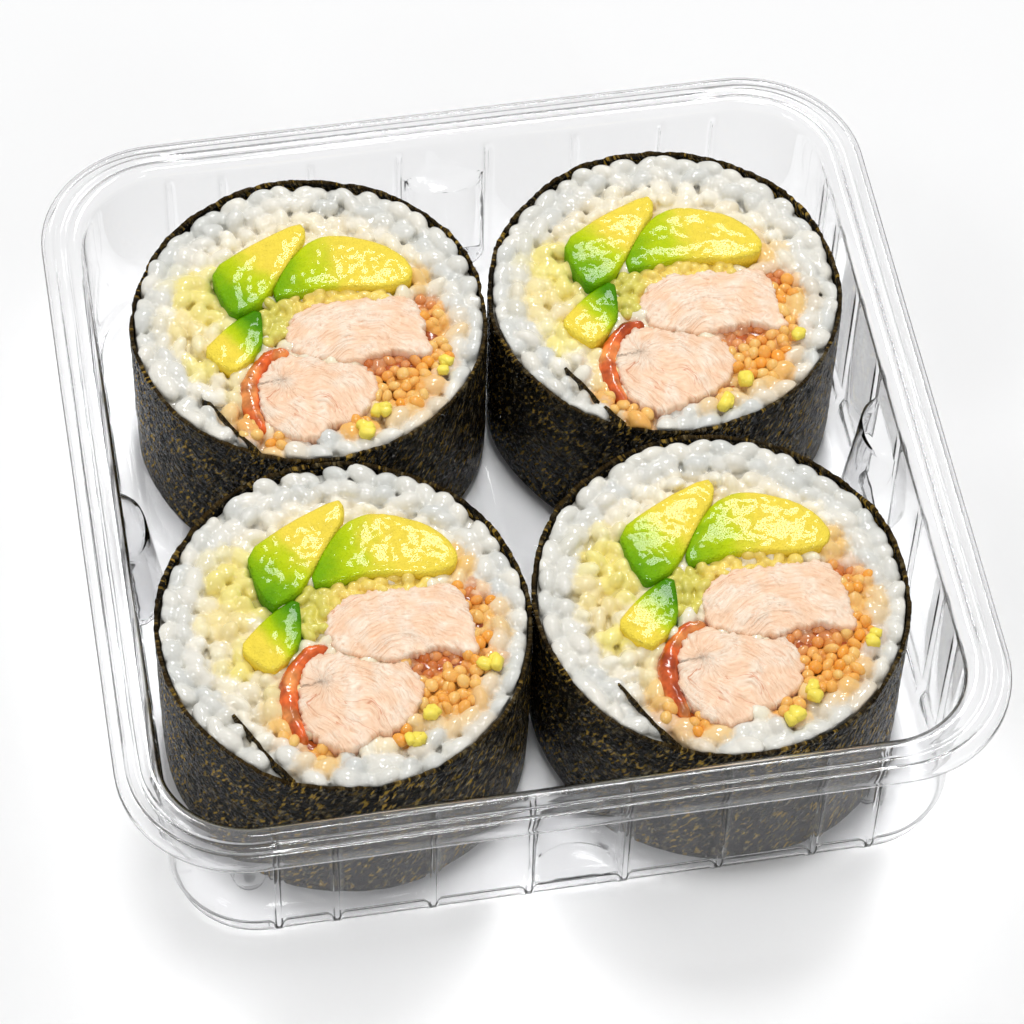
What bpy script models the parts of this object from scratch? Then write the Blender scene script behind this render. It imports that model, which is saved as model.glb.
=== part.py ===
"""A clear square takeaway tray with four upright slices of a thick sushi roll in it."""

import math
import random

import bmesh
import bpy
from mathutils import Matrix, Vector

MM = 0.001

# Clear distance between pieces that touch in the real thing
GAP = 0.3 * MM

# How far a cutter reaches past what it cuts
CUT_REACH = 1.0 * MM

# Tray: outer half sizes at the rim, sheet thickness and heights
RIM_HALF_X = 62.5 * MM
RIM_HALF_Y = 64.5 * MM
RIM_CORNER = 18.0 * MM
RIM_Z = 32.0 * MM
RIM_WIDTH = 6.4 * MM
SHEET = 0.5 * MM
LIP_DROP = 2.2 * MM
LIP_ROUND = 0.6 * MM
CORNER_STEPS = 6

# Share of an inset by which the corners' radius shrinks
CORNER_SHRINK = 0.85

# Groove along the rim: insets of its outer edge, bed and inner edge, on top and underneath
GROOVE_DEPTH = 0.9 * MM
GROOVE_END = 4.0 * MM
GROOVE_TOP_INSETS = (1.4 * MM, 2.3 * MM, 3.4 * MM, 4.2 * MM)
GROOVE_UNDER_INSETS = (1.2 * MM, 2.1 * MM, 3.6 * MM, 4.5 * MM)

# Bend from the rim into the wall: how far it reaches over the rim and down the wall
WALL_BEND_WIDTH = 0.6 * MM
WALL_BEND_DROP = 0.9 * MM

# How far each part of the wall lies inside the outer edge of the rim
WALL_TOP_INSET = 5.9 * MM
WALL_LOW_INSET = 6.2 * MM
FOOT_INSET = 6.9 * MM
LEDGE_Z = 4.7 * MM
LEDGE_RISE = 0.7 * MM
LEDGE_INNER_RISE = 0.3 * MM
FOOT_FILLET = 2.4 * MM
INNER_FILLET = 2.1 * MM
FLOOR_EDGE_INSET = 14.0 * MM

# Upright ribs on the outside of each wall, in pitches from the middle of the side
RIB_PITCH = 13.6 * MM
RIB_PLACES = (-3.1, -2.5, -1.5, -0.5, 0.5, 1.5, 2.5, 3.1)
RIB_TOP_WIDTH = 1.2 * MM
RIB_FOOT_WIDTH = 1.8 * MM
RIB_DEPTH = 0.6 * MM
RIB_TOP_Z = 31.0 * MM
RIB_END_RISE = 0.85 * MM
RIB_END_BURIED = 0.8 * MM
RIB_FRONT_SHARE = 0.7

# Stacking lug pressed inwards in the middle of each wall
LUG_TOP_Z = 23.5 * MM
LUG_LOW_Z = 6.6 * MM
LUG_TOP_HALF = 5.4 * MM
LUG_LOW_HALF = 6.2 * MM
LUG_TOP_DEPTH = 3.2 * MM
LUG_LOW_DEPTH = 5.4 * MM
LUG_TOP_SHIFT = 0.1 * MM
LUG_STEPS = 6

# Raised quarter of the floor under each slice, with channels between them
PAD_TOP_Z = 2.0 * MM
PAD_CHANNEL_HALF = 2.2 * MM
PAD_WALL_DISTANCE = 3.8 * MM
PAD_SLOPE = 1.0 * MM
PAD_CENTRE_CUT = 3.0 * MM
PAD_LUG_CUT = 9.0 * MM
PAD_CORNER = 9.0 * MM
PAD_CORNER_STEPS = 3

# Three crowned nubs with small flat tips under the floor, which the tray stands on, and where each is
NUB_RISE = 0.7 * MM
NUB_CROWN = 0.1 * MM
NUB_FLAT_HALF = 1.0 * MM
NUB_TIP_HALF = 2.5 * MM
NUB_ROOT_HALF = 3.0 * MM
NUBS = (
    (-45.0 * MM, -47.0 * MM, PAD_TOP_Z - SHEET / 2),
    (45.0 * MM, -47.0 * MM, PAD_TOP_Z - SHEET / 2),
    (0.0, 48.0 * MM, NUB_RISE + SHEET / 2),
)

# Roll slices: centre in the tray, half width across and along, and how far the fillings lie off it
ROLLS = {
    "back_left": ((-24.8, 29.6), (26.4, 26.5), (0.0, -0.5)),
    "back_right": ((28.2, 26.8), (26.3, 26.9), (-0.4, -0.6)),
    "front_left": ((-27.8, -25.3), (26.3, 28.0), (1.2, 1.7)),
    "front_right": ((25.5, -28.6), (26.6, 27.7), (0.7, 0.6)),
}
ROLL_BASE_Z = PAD_TOP_Z + GAP
NORI_TOP_Z = 29.0 * MM
NORI_THICKNESS = 0.6 * MM
NORI_TOP_UNEVEN = 0.25 * MM
ROLL_SEGMENTS = 40
EDGE_WAVE = 0.11 * MM
EDGE_WAVES = (2, 5, 9)
RICE_TOP_Z = 28.0 * MM

# Layout of a slice's cut face in millimetres from its centre, for this half size
LAYOUT_HALF = (26.4, 27.2)
AVOCADO_A = (
    (-13.1, 10.9), (-6.3, 15.0), (0.9, 18.0), (1.4, 16.5), (0.9, 14.7),
    (-2.0, 10.8), (-6.2, 4.4), (-8.2, 3.0), (-10.9, 1.7), (-12.4, 5.5),
)
AVOCADO_B = (
    (-5.0, 4.6), (-1.8, 10.4), (1.3, 13.7), (4.2, 14.9), (7.6, 14.4), (12.4, 12.2),
    (15.1, 9.3), (16.2, 6.4), (15.3, 4.6), (11.6, 4.1), (7.0, 4.9), (2.5, 5.4), (-1.5, 4.6),
)
AVOCADO_C = (
    (-16.0, -4.2), (-13.5, -1.6), (-10.6, 0.8), (-7.2, 2.6), (-7.4, -1.0),
    (-7.9, -4.2), (-10.2, -7.2), (-12.4, -8.6), (-14.6, -6.4),
)
MASH = (
    (-6.7, 4.0), (-1.5, 4.1), (2.5, 4.9), (7.0, 4.4), (11.4, 3.6), (11.2, 2.4), (7.0, 2.7),
    (2.6, 3.0), (-0.6, 2.4), (-3.6, 0.2), (-4.4, -2.6), (-6.9, -3.6), (-6.9, -0.9),
)
CHICKEN_A = (
    (-3.6, -3.6), (-3.3, -0.6), (-1.0, 1.6), (2.6, 2.5), (7.5, 2.2), (11.4, 1.9), (14.0, 2.4),
    (15.6, 0.6), (16.4, -2.4), (16.3, -6.0), (16.6, -9.8), (14.2, -8.9), (11.4, -7.6),
    (6.5, -8.6), (4.2, -8.9), (-0.6, -7.2), (-3.0, -6.0),
)
CHICKEN_B = (
    (-8.0, -9.2), (-6.2, -7.0), (-3.6, -6.6), (-1.0, -8.2), (4.2, -9.9), (6.4, -10.0),
    (7.6, -12.4), (7.6, -15.4), (6.2, -17.9), (3.4, -20.0), (0.4, -20.4), (-1.6, -21.8),
    (-4.4, -22.4), (-6.8, -20.8), (-8.6, -18.6), (-9.2, -15.4), (-9.0, -12.2),
)
RED_STRIP = (
    (-4.2, -4.9), (-7.0, -4.9), (-9.9, -7.7), (-11.7, -11.0), (-11.8, -14.8), (-10.8, -18.2),
    (-9.4, -20.2), (-9.1, -18.9), (-9.7, -15.5), (-9.5, -12.0), (-8.5, -8.9), (-6.5, -6.4),
    (-4.0, -6.0),
)
# Each filling: its food, outline, height of its cut face, and how much that face is rounded
FILLINGS = {
    "avocado_a": ("avocado", AVOCADO_A, 28.9 * MM, 0.7 * MM),
    "avocado_b": ("avocado", AVOCADO_B, 28.9 * MM, 0.8 * MM),
    "avocado_c": ("avocado", AVOCADO_C, 28.8 * MM, 0.7 * MM),
    "mash": ("mash", MASH, 28.9 * MM, 0.0),
    "chicken_a": ("chicken", CHICKEN_A, 29.1 * MM, 0.7 * MM),
    "chicken_b": ("chicken", CHICKEN_B, 29.1 * MM, 0.8 * MM),
    "red_strip": ("red_strip", RED_STRIP, 28.6 * MM, 0.0),
}
FILLING_BASE_Z = ROLL_BASE_Z + 0.1 * MM
FACE_DROP_SHARE = 0.6
MITRE_LIMIT = 0.5

# Inner end of the nori sheet: it leaves the edge at this turn and follows this line
TAIL_TURN = math.radians(246)
TAIL_LINE = ((-13.6, -19.8), (-15.6, -15.8), (-17.4, -12.6))
TAIL_BASE_Z = ROLL_BASE_Z + 0.2 * MM
TAIL_TOP_Z = NORI_TOP_Z - 0.4 * MM

# Rice grains fused on the cut face, and two crumbs of egg between them
GRAIN_SIZE = (4.8 * MM, 3.2 * MM, 3.0 * MM)
SMALLEST_GRAIN = 0.92
GRAIN_Z = RICE_TOP_Z - 0.2 * MM
EDGE_GRAIN_SPACING = 4.7 * MM
EDGE_GRAIN_CLEARANCE = 0.25 * MM
INNER_GRAIN_SPACING = 3.9 * MM
INNER_GRAINS = 8
INNER_TRIES = 4000
CRUMB_SIZE = (2.8 * MM, 2.4 * MM, 2.4 * MM)
CRUMB_PLACES = ((8.4, -18.5), (5.2, -22.3))

# Colour, roughness and transmission of each material
FINISHES = {
    "tray": ((0.93, 0.94, 0.95, 1.0), 0.05, 1.0),
    "nori": ((0.012, 0.014, 0.008, 1.0), 0.45, 0.0),
    "rice": ((0.86, 0.84, 0.76, 1.0), 0.4, 0.0),
    "avocado": ((0.45, 0.66, 0.05, 1.0), 0.35, 0.0),
    "mash": ((0.85, 0.72, 0.16, 1.0), 0.35, 0.0),
    "chicken": ((0.85, 0.52, 0.36, 1.0), 0.35, 0.0),
    "red_strip": ((0.60, 0.09, 0.03, 1.0), 0.35, 0.0),
}


def material(name):
    made = bpy.data.materials.get(name)
    if made:
        return made
    colour, roughness, transmission = FINISHES[name]
    made = bpy.data.materials.new(name)
    made.use_nodes = True
    shader = made.node_tree.nodes["Principled BSDF"]
    shader.inputs["Base Color"].default_value = colour
    shader.inputs["Roughness"].default_value = roughness
    shader.inputs["Metallic"].default_value = 0.0
    shader.inputs["Transmission Weight"].default_value = transmission
    return made


def object_from(name, mesh_data):
    mesh = bpy.data.meshes.new(name)
    mesh_data.to_mesh(mesh)
    mesh_data.free()
    made = bpy.data.objects.new(name, mesh)
    bpy.context.scene.collection.objects.link(made)
    return made


def loft(loops):
    """A closed bmesh through loops of equal length, each a list of points, with flat ends."""
    made = bmesh.new()
    rings = [[made.verts.new(point) for point in loop] for loop in loops]
    for lower, upper in zip(rings, rings[1:]):
        for i in range(len(lower)):
            j = (i + 1) % len(lower)
            made.faces.new((lower[i], lower[j], upper[j], upper[i]))
    made.faces.new(reversed(rings[0]))
    made.faces.new(rings[-1])
    bmesh.ops.recalc_face_normals(made, faces=made.faces)
    return made


def apply_boolean(target, others, operation):
    """Joins or cuts the target with all the others at once, and removes them."""
    group = bpy.data.collections.new("cut")
    bpy.context.scene.collection.children.link(group)
    for other in others:
        bpy.context.scene.collection.objects.unlink(other)
        group.objects.link(other)
    step = target.modifiers.new(operation.title(), "BOOLEAN")
    step.operand_type = "COLLECTION"
    step.collection = group
    step.operation = operation
    step.solver = "EXACT"
    bpy.context.view_layer.objects.active = target
    bpy.ops.object.modifier_apply(modifier=step.name)
    for other in others:
        bpy.data.objects.remove(other)
    bpy.data.collections.remove(group)


def keep_largest_body(target):
    """Drops the loose scraps that a cut leaves."""
    whole = bmesh.new()
    whole.from_mesh(target.data)
    waiting = set(whole.verts)
    bodies = []
    while waiting:
        body = set()
        edge = [waiting.pop()]
        while edge:
            vertex = edge.pop()
            body.add(vertex)
            near = {link.other_vert(vertex) for link in vertex.link_edges} & waiting
            waiting -= near
            edge.extend(near)
        bodies.append(body)
    largest = max(bodies, key=len)
    scraps = [vertex for vertex in whole.verts if vertex not in largest]
    bmesh.ops.delete(whole, geom=scraps, context="VERTS")
    whole.to_mesh(target.data)
    whole.free()


def rim_outline(inset):
    """Points round the tray at an inset from the rim's edge, each with its share of the groove."""
    half_x = RIM_HALF_X - inset
    half_y = RIM_HALF_Y - inset
    radius = RIM_CORNER - CORNER_SHRINK * inset
    points = []
    for quarter, (side_x, side_y) in enumerate(((1, 1), (-1, 1), (-1, -1), (1, -1))):
        centre = Vector((side_x * (half_x - radius), side_y * (half_y - radius), 0))
        for step in range(CORNER_STEPS + 1):
            turn = (quarter + step / CORNER_STEPS) * math.pi / 2
            arm = Vector((math.cos(turn), math.sin(turn), 0))
            points.append((centre + radius * arm, 0.0))
        along = Vector((-math.sin(turn), math.cos(turn), 0))
        run = 2 * (half_x if quarter % 2 == 0 else half_y) - 2 * radius
        last = points[-1][0]
        points.append((last + GROOVE_END * along, 1.0))
        points.append((last + (run - GROOVE_END) * along, 1.0))
    return points


def wall_sections():
    """Inset, height and depth of the groove, from under the floor, over the rim, to the floor."""
    under_rim = RIM_Z - SHEET
    inner_foot = FOOT_INSET + SHEET
    floor_top = NUB_RISE + SHEET
    middle = 1 - math.sqrt(0.5)
    outer_bend = FOOT_FILLET * middle
    inner_bend = INNER_FILLET * middle
    grooved = (0.0, GROOVE_DEPTH, GROOVE_DEPTH, 0.0)
    under_groove = [(inset, under_rim, depth) for inset, depth in zip(GROOVE_UNDER_INSETS, grooved)]
    top_groove = [(inset, RIM_Z, depth) for inset, depth in zip(GROOVE_TOP_INSETS, grooved)]
    return [
        (FLOOR_EDGE_INSET, NUB_RISE, 0.0),
        (FOOT_INSET + FOOT_FILLET, NUB_RISE, 0.0),
        (FOOT_INSET + outer_bend, NUB_RISE + outer_bend, 0.0),
        (FOOT_INSET, NUB_RISE + FOOT_FILLET, 0.0),
        (FOOT_INSET, LEDGE_Z, 0.0),
        (WALL_LOW_INSET, LEDGE_Z + LEDGE_RISE, 0.0),
        (WALL_TOP_INSET, under_rim - WALL_BEND_DROP, 0.0),
        (WALL_TOP_INSET - WALL_BEND_WIDTH, under_rim, 0.0),
        *reversed(under_groove),
        (SHEET, under_rim - LIP_ROUND, 0.0),
        (SHEET, RIM_Z - LIP_DROP, 0.0),
        (0.0, RIM_Z - LIP_DROP, 0.0),
        (0.0, RIM_Z - LIP_ROUND, 0.0),
        (LIP_ROUND, RIM_Z, 0.0),
        *top_groove,
        (RIM_WIDTH - WALL_BEND_WIDTH, RIM_Z, 0.0),
        (RIM_WIDTH, RIM_Z - WALL_BEND_DROP, 0.0),
        (WALL_LOW_INSET + SHEET, LEDGE_Z + LEDGE_RISE + LEDGE_INNER_RISE, 0.0),
        (inner_foot, LEDGE_Z + LEDGE_INNER_RISE, 0.0),
        (inner_foot, floor_top + INNER_FILLET, 0.0),
        (inner_foot + inner_bend, floor_top + inner_bend, 0.0),
        (inner_foot + INNER_FILLET, floor_top, 0.0),
        (FLOOR_EDGE_INSET, floor_top, 0.0),
    ]


def tray_shell():
    loops = []
    for inset, height, groove in wall_sections():
        outline = rim_outline(inset)
        loops.append([point + Vector((0, 0, height - groove * share)) for point, share in outline])
    return object_from("tray", loft(loops))


def side_frames():
    """For each wall: a matrix from (along the wall, out of the tray, up), and the wall's half size."""
    frames = []
    for quarter in range(4):
        half = RIM_HALF_Y if quarter % 2 == 0 else RIM_HALF_X
        frames.append((Matrix.Rotation(quarter * math.pi / 2, 4, "Z"), half))
    return frames


def on_wall(frame, half, along, inset, height):
    return frame @ Vector((along, half - inset, height))


def tray_ribs():
    """Half-buried upright bars with a blunt end over the foot."""
    foot_back = FOOT_INSET + SHEET / 2
    sections = (
        (RIB_TOP_Z, RIB_TOP_WIDTH, WALL_TOP_INSET - RIB_DEPTH, WALL_TOP_INSET + SHEET / 2),
        (LEDGE_Z + LEDGE_RISE, RIB_FOOT_WIDTH, WALL_LOW_INSET - RIB_DEPTH, WALL_LOW_INSET + SHEET / 2),
        (LEDGE_Z, RIB_FOOT_WIDTH, WALL_LOW_INSET - RIB_DEPTH, foot_back),
        (NUB_RISE + FOOT_FILLET, RIB_FOOT_WIDTH, WALL_LOW_INSET - RIB_DEPTH, foot_back),
        (NUB_RISE + RIB_END_RISE, RIB_FOOT_WIDTH / 2, FOOT_INSET - SHEET, FOOT_INSET + RIB_END_BURIED),
    )
    front_share = RIB_FRONT_SHARE / 2
    ribs = []
    for frame, half in side_frames():
        for place in RIB_PLACES:
            loops = []
            for height, width, front, back in sections:
                loop = []
                for side, inset in ((-0.5, back), (-front_share, front), (front_share, front), (0.5, back)):
                    along = place * RIB_PITCH + side * width
                    loop.append(on_wall(frame, half, along, inset, height))
                loops.append(loop)
            ribs.append(object_from("rib", loft(loops)))
    return ribs


def lug_loops(frame, half, sections):
    loops = []
    for height, half_width, back, depth in sections:
        loop = []
        for step in range(LUG_STEPS + 1):
            turn = math.pi * step / LUG_STEPS
            inset = back + depth * math.sin(turn)
            loop.append(on_wall(frame, half, half_width * math.cos(turn), inset, height))
        loops.append(loop)
    return loops


def tray_lugs():
    """The lugs, and the hollows behind them that open outwards."""
    buried = WALL_LOW_INSET + SHEET / 2
    outside = WALL_LOW_INSET - 2 * CUT_REACH
    lugs = []
    hollows = []
    for frame, half in side_frames():
        lug = (
            (LUG_LOW_Z, LUG_LOW_HALF, buried, LUG_LOW_DEPTH),
            (LUG_TOP_Z, LUG_TOP_HALF, buried - LUG_TOP_SHIFT, LUG_TOP_DEPTH),
        )
        low_half = LUG_LOW_HALF - SHEET
        top_half = LUG_TOP_HALF - SHEET
        hollow = (
            (LUG_LOW_Z + SHEET, low_half, buried, LUG_LOW_DEPTH - SHEET),
            (LUG_TOP_Z - SHEET, top_half, buried, LUG_TOP_DEPTH - SHEET),
        )
        loops = lug_loops(frame, half, hollow)
        for loop, half_width in zip(loops, (low_half, top_half)):
            height = loop[0].z
            loop.append(on_wall(frame, half, -half_width, outside, height))
            loop.append(on_wall(frame, half, half_width, outside, height))
        lugs.append(object_from("lug", loft(lug_loops(frame, half, lug))))
        hollows.append(object_from("hollow", loft(loops)))
    return lugs, hollows


def pad_outline(grow):
    """One quarter of the floor, in the corner where x and y are positive."""
    near = PAD_CHANNEL_HALF - grow
    far_x = RIM_HALF_X - FOOT_INSET - SHEET - PAD_WALL_DISTANCE + grow
    far_y = RIM_HALF_Y - FOOT_INSET - SHEET - PAD_WALL_DISTANCE + grow
    points = [(near, near + PAD_CENTRE_CUT), (near + PAD_CENTRE_CUT, near)]
    points += [(far_x - PAD_LUG_CUT, near), (far_x, near + PAD_LUG_CUT)]
    for step in range(PAD_CORNER_STEPS + 1):
        turn = math.pi / 2 * step / PAD_CORNER_STEPS
        x = far_x - PAD_CORNER * (1 - math.cos(turn))
        y = far_y - PAD_CORNER * (1 - math.sin(turn))
        points.append((x, y))
    points += [(near + PAD_LUG_CUT, far_y), (near, far_y - PAD_LUG_CUT)]
    return points


def tray_pads():
    """The raised quarters, and the hollows under them that open downwards."""
    pads = []
    hollows = []
    for side_x in (1, -1):
        for side_y in (1, -1):
            for made, low, high, shrink in (
                (pads, NUB_RISE + SHEET / 2, PAD_TOP_Z, 0.0),
                (hollows, -CUT_REACH, PAD_TOP_Z - SHEET, SHEET),
            ):
                base = pad_outline(PAD_SLOPE - shrink)
                top = pad_outline(-shrink)
                loops = [
                    [Vector((side_x * x, side_y * y, low)) for x, y in base],
                    [Vector((side_x * x, side_y * y, high)) for x, y in top],
                ]
                made.append(object_from("pad", loft(loops)))
    return pads, hollows


def tray_nubs():
    nubs = []
    for x, y, top in NUBS:
        loops = []
        for half, height in ((NUB_ROOT_HALF, top), (NUB_TIP_HALF, NUB_CROWN), (NUB_FLAT_HALF, 0.0)):
            corners = ((half, half), (-half, half), (-half, -half), (half, -half))
            loops.append([Vector((x + along, y + across, height)) for along, across in corners])
        nubs.append(object_from("nub", loft(loops)))
    return nubs


def build_tray():
    tray = tray_shell()
    lugs, lug_hollows = tray_lugs()
    pads, pad_hollows = tray_pads()
    apply_boolean(tray, lugs + pads + tray_ribs(), "UNION")
    apply_boolean(tray, lug_hollows + pad_hollows, "DIFFERENCE")
    apply_boolean(tray, tray_nubs(), "UNION")
    tray.data.materials.clear()
    tray.data.materials.append(material("tray"))


def signed_area(outline):
    pairs = zip(outline, outline[1:] + outline[:1])
    return sum(a.x * b.y - b.x * a.y for a, b in pairs) / 2


def grown(outline, distance):
    """The outline moved outwards, or inwards for a negative distance."""
    turn = 1 if signed_area(outline) > 0 else -1
    moved = []
    for i, point in enumerate(outline):
        before = (point - outline[i - 1]).normalized()
        after = (outline[(i + 1) % len(outline)] - point).normalized()
        mitre = Vector((before.y + after.y, -before.x - after.x)) * turn
        reach = distance / max(MITRE_LIMIT, mitre.length / 2)
        moved.append(point + mitre.normalized() * reach)
    return moved


def at_height(outline, height):
    return [Vector((point.x, point.y, height)) for point in outline]


def distance_to_line(point, line, closed):
    """Shortest distance from a point to a line of points."""
    ends = line[1:] + line[:1] if closed else line[1:]
    shortest = math.inf
    for start, end in zip(line, ends):
        run = end - start
        share = max(0.0, min(1.0, (point - start).dot(run) / run.length_squared))
        shortest = min(shortest, (start + share * run - point).length)
    return shortest


def inside(point, outline):
    crossings = 0
    for a, b in zip(outline, outline[1:] + outline[:1]):
        if (a.y > point.y) != (b.y > point.y):
            crossings += point.x < a.x + (point.y - a.y) / (b.y - a.y) * (b.x - a.x)
    return crossings % 2 == 1


class Slice:
    """One slice of the roll: its place, its outlines and its own seeded unevenness."""

    def __init__(self, name, centre, half, shift):
        self.name = name
        self.centre = Vector(centre) * MM
        self.half = Vector(half) * MM
        self.rng = random.Random(name)
        self.phases = [self.rng.uniform(0, 2 * math.pi) for _ in EDGE_WAVES]
        self.outlines = {key: self.placed(value[1], shift) for key, value in FILLINGS.items()}
        self.tail = [self.edge(TAIL_TURN, NORI_THICKNESS / 2)] + self.placed(TAIL_LINE, (0, 0))
        self.crumbs = self.placed(CRUMB_PLACES, shift)

    def placed(self, points, shift):
        """Layout points as points of the tray, moved by a shift in millimetres."""
        scale = Vector((self.half.x / LAYOUT_HALF[0], self.half.y / LAYOUT_HALF[1]))
        start = self.centre + Vector(shift) * MM
        return [start + scale * Vector(point) for point in points]

    def edge(self, turn, inset):
        """A point of the slice's wavy edge, or of a line inside it."""
        wave = sum(math.sin(n * turn + phase) for n, phase in zip(EDGE_WAVES, self.phases))
        shrink = inset + EDGE_WAVE * wave
        x = (self.half.x - shrink) * math.cos(turn)
        y = (self.half.y - shrink) * math.sin(turn)
        return self.centre + Vector((x, y))

    def edge_outline(self, inset):
        turns = [2 * math.pi * i / ROLL_SEGMENTS for i in range(ROLL_SEGMENTS)]
        return [self.edge(turn, inset) for turn in turns]

    def tail_outline(self, grow):
        """The turned-in end of the sheet as a strip round its line."""
        line = self.tail
        half = NORI_THICKNESS / 2 + grow
        left = []
        right = []
        for i, point in enumerate(line):
            run = (line[min(i + 1, len(line) - 1)] - line[max(i - 1, 0)]).normalized()
            across = Vector((-run.y, run.x)) * half
            shift = run * grow * (i == len(line) - 1)
            left.append(point + across + shift)
            right.append(point - across + shift)
        return left + right[::-1]

    def build_nori(self):
        outer = self.edge_outline(0.0)
        inner = self.edge_outline(NORI_THICKNESS)
        tops = [NORI_TOP_Z + NORI_TOP_UNEVEN * self.rng.uniform(-1, 1) for _ in outer]
        loops = [
            at_height(inner, ROLL_BASE_Z),
            at_height(outer, ROLL_BASE_Z),
            [Vector((point.x, point.y, top)) for point, top in zip(outer, tops)],
            [Vector((point.x, point.y, top)) for point, top in zip(inner, tops)],
        ]
        ring = bmesh.new()
        rings = [[ring.verts.new(point) for point in loop] for loop in loops]
        for lower, upper in zip(rings, rings[1:] + rings[:1]):
            for i in range(ROLL_SEGMENTS):
                j = (i + 1) % ROLL_SEGMENTS
                ring.faces.new((lower[i], lower[j], upper[j], upper[i]))
        bmesh.ops.recalc_face_normals(ring, faces=ring.faces)
        nori = object_from(f"nori_{self.name}", ring)
        strip = self.tail_outline(0.0)
        tail = object_from("tail", loft([at_height(strip, TAIL_BASE_Z), at_height(strip, TAIL_TOP_Z)]))
        apply_boolean(nori, [tail], "UNION")
        nori.data.materials.clear()
        nori.data.materials.append(material("nori"))

    def build_filling(self, kind):
        food, _, top, rounding = FILLINGS[kind]
        outline = self.outlines[kind]
        loops = [at_height(outline, FILLING_BASE_Z)]
        if rounding:
            loops.append(at_height(outline, top - rounding * FACE_DROP_SHARE))
            loops.append(at_height(grown(outline, -rounding), top))
        else:
            loops.append(at_height(outline, top))
        filling = object_from(f"{kind}_{self.name}", loft(loops))
        filling.data.materials.append(material(food))

    def is_clear(self, place, heading):
        """Whether a grain here stays clear of the fillings and of the sheet's end."""
        length, width, _ = GRAIN_SIZE
        reach = width / 2 + GAP
        arm = Vector((math.cos(heading), math.sin(heading))) * (length - width) / 2
        for spot in (place - arm, place, place + arm):
            if distance_to_line(spot, self.tail, False) < reach + NORI_THICKNESS / 2:
                return False
            for outline in self.outlines.values():
                if inside(spot, outline) or distance_to_line(spot, outline, True) < reach:
                    return False
        return True

    def lump(self, place, heading, sizes):
        """A grain or crumb, half sunk in the top of the rice."""
        made = bmesh.new()
        bmesh.ops.create_icosphere(made, subdivisions=1, radius=0.5)
        bmesh.ops.scale(made, vec=sizes, verts=made.verts)
        bmesh.ops.rotate(made, matrix=Matrix.Rotation(heading, 3, "Z"), verts=made.verts)
        bmesh.ops.translate(made, vec=(place.x, place.y, GRAIN_Z), verts=made.verts)
        return object_from("lump", made)

    def grain_places(self):
        """Places and headings: first round the edge, then spread over the rest of the rice."""
        width = GRAIN_SIZE[1]
        edge_inset = NORI_THICKNESS + GAP + width / 2 + EDGE_GRAIN_CLEARANCE
        count = round(math.pi * (self.half.x + self.half.y - 2 * edge_inset) / EDGE_GRAIN_SPACING)
        places = []
        for i in range(count):
            turn = 2 * math.pi * i / count
            place = self.edge(turn, edge_inset)
            if self.is_clear(place, turn + math.pi / 2):
                places.append((place, turn + math.pi / 2))
        inner = self.half - Vector((1, 1)) * (edge_inset + width)
        target = len(places) + INNER_GRAINS
        taken = [place for place, _ in places] + self.crumbs
        for _ in range(INNER_TRIES):
            turn = self.rng.uniform(0, 2 * math.pi)
            far = math.sqrt(self.rng.uniform(0, 1))
            heading = self.rng.uniform(0, math.pi)
            place = self.centre + far * Vector((inner.x * math.cos(turn), inner.y * math.sin(turn)))
            if min((place - other).length for other in taken) < INNER_GRAIN_SPACING:
                continue
            if len(places) < target and self.is_clear(place, heading):
                places.append((place, heading))
                taken.append(place)
        return places

    def build_rice(self):
        outline = self.edge_outline(NORI_THICKNESS + GAP)
        low = at_height(outline, ROLL_BASE_Z)
        rice = object_from(f"rice_{self.name}", loft([low, at_height(outline, RICE_TOP_Z)]))
        cutters = []
        for hole in [grown(line, GAP) for line in self.outlines.values()] + [self.tail_outline(GAP)]:
            loops = [at_height(hole, 0.0), at_height(hole, RIM_Z)]
            cutters.append(object_from("cutter", loft(loops)))
        apply_boolean(rice, cutters, "DIFFERENCE")
        keep_largest_body(rice)
        lumps = [self.lump(place, self.rng.uniform(0, math.pi), CRUMB_SIZE) for place in self.crumbs]
        for place, heading in self.grain_places():
            size = self.rng.uniform(SMALLEST_GRAIN, 1.0)
            lumps.append(self.lump(place, heading, [side * size for side in GRAIN_SIZE]))
        apply_boolean(rice, lumps, "UNION")
        rice.data.materials.clear()
        rice.data.materials.append(material("rice"))

    def build(self):
        self.build_nori()
        self.build_rice()
        for kind in FILLINGS:
            self.build_filling(kind)


def main():
    for old in list(bpy.data.objects):
        bpy.data.objects.remove(old)
    build_tray()
    for name, (centre, half, shift) in ROLLS.items():
        Slice(name, centre, half, shift).build()


main()
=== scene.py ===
"""A clear square takeaway tray with four upright slices of a thick sushi roll, as photographed."""

import math
import random

import bmesh
import bpy
import numpy as np
from mathutils import Matrix, Vector, noise
from mathutils.geometry import delaunay_2d_cdt
from mathutils.kdtree import KDTree


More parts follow.
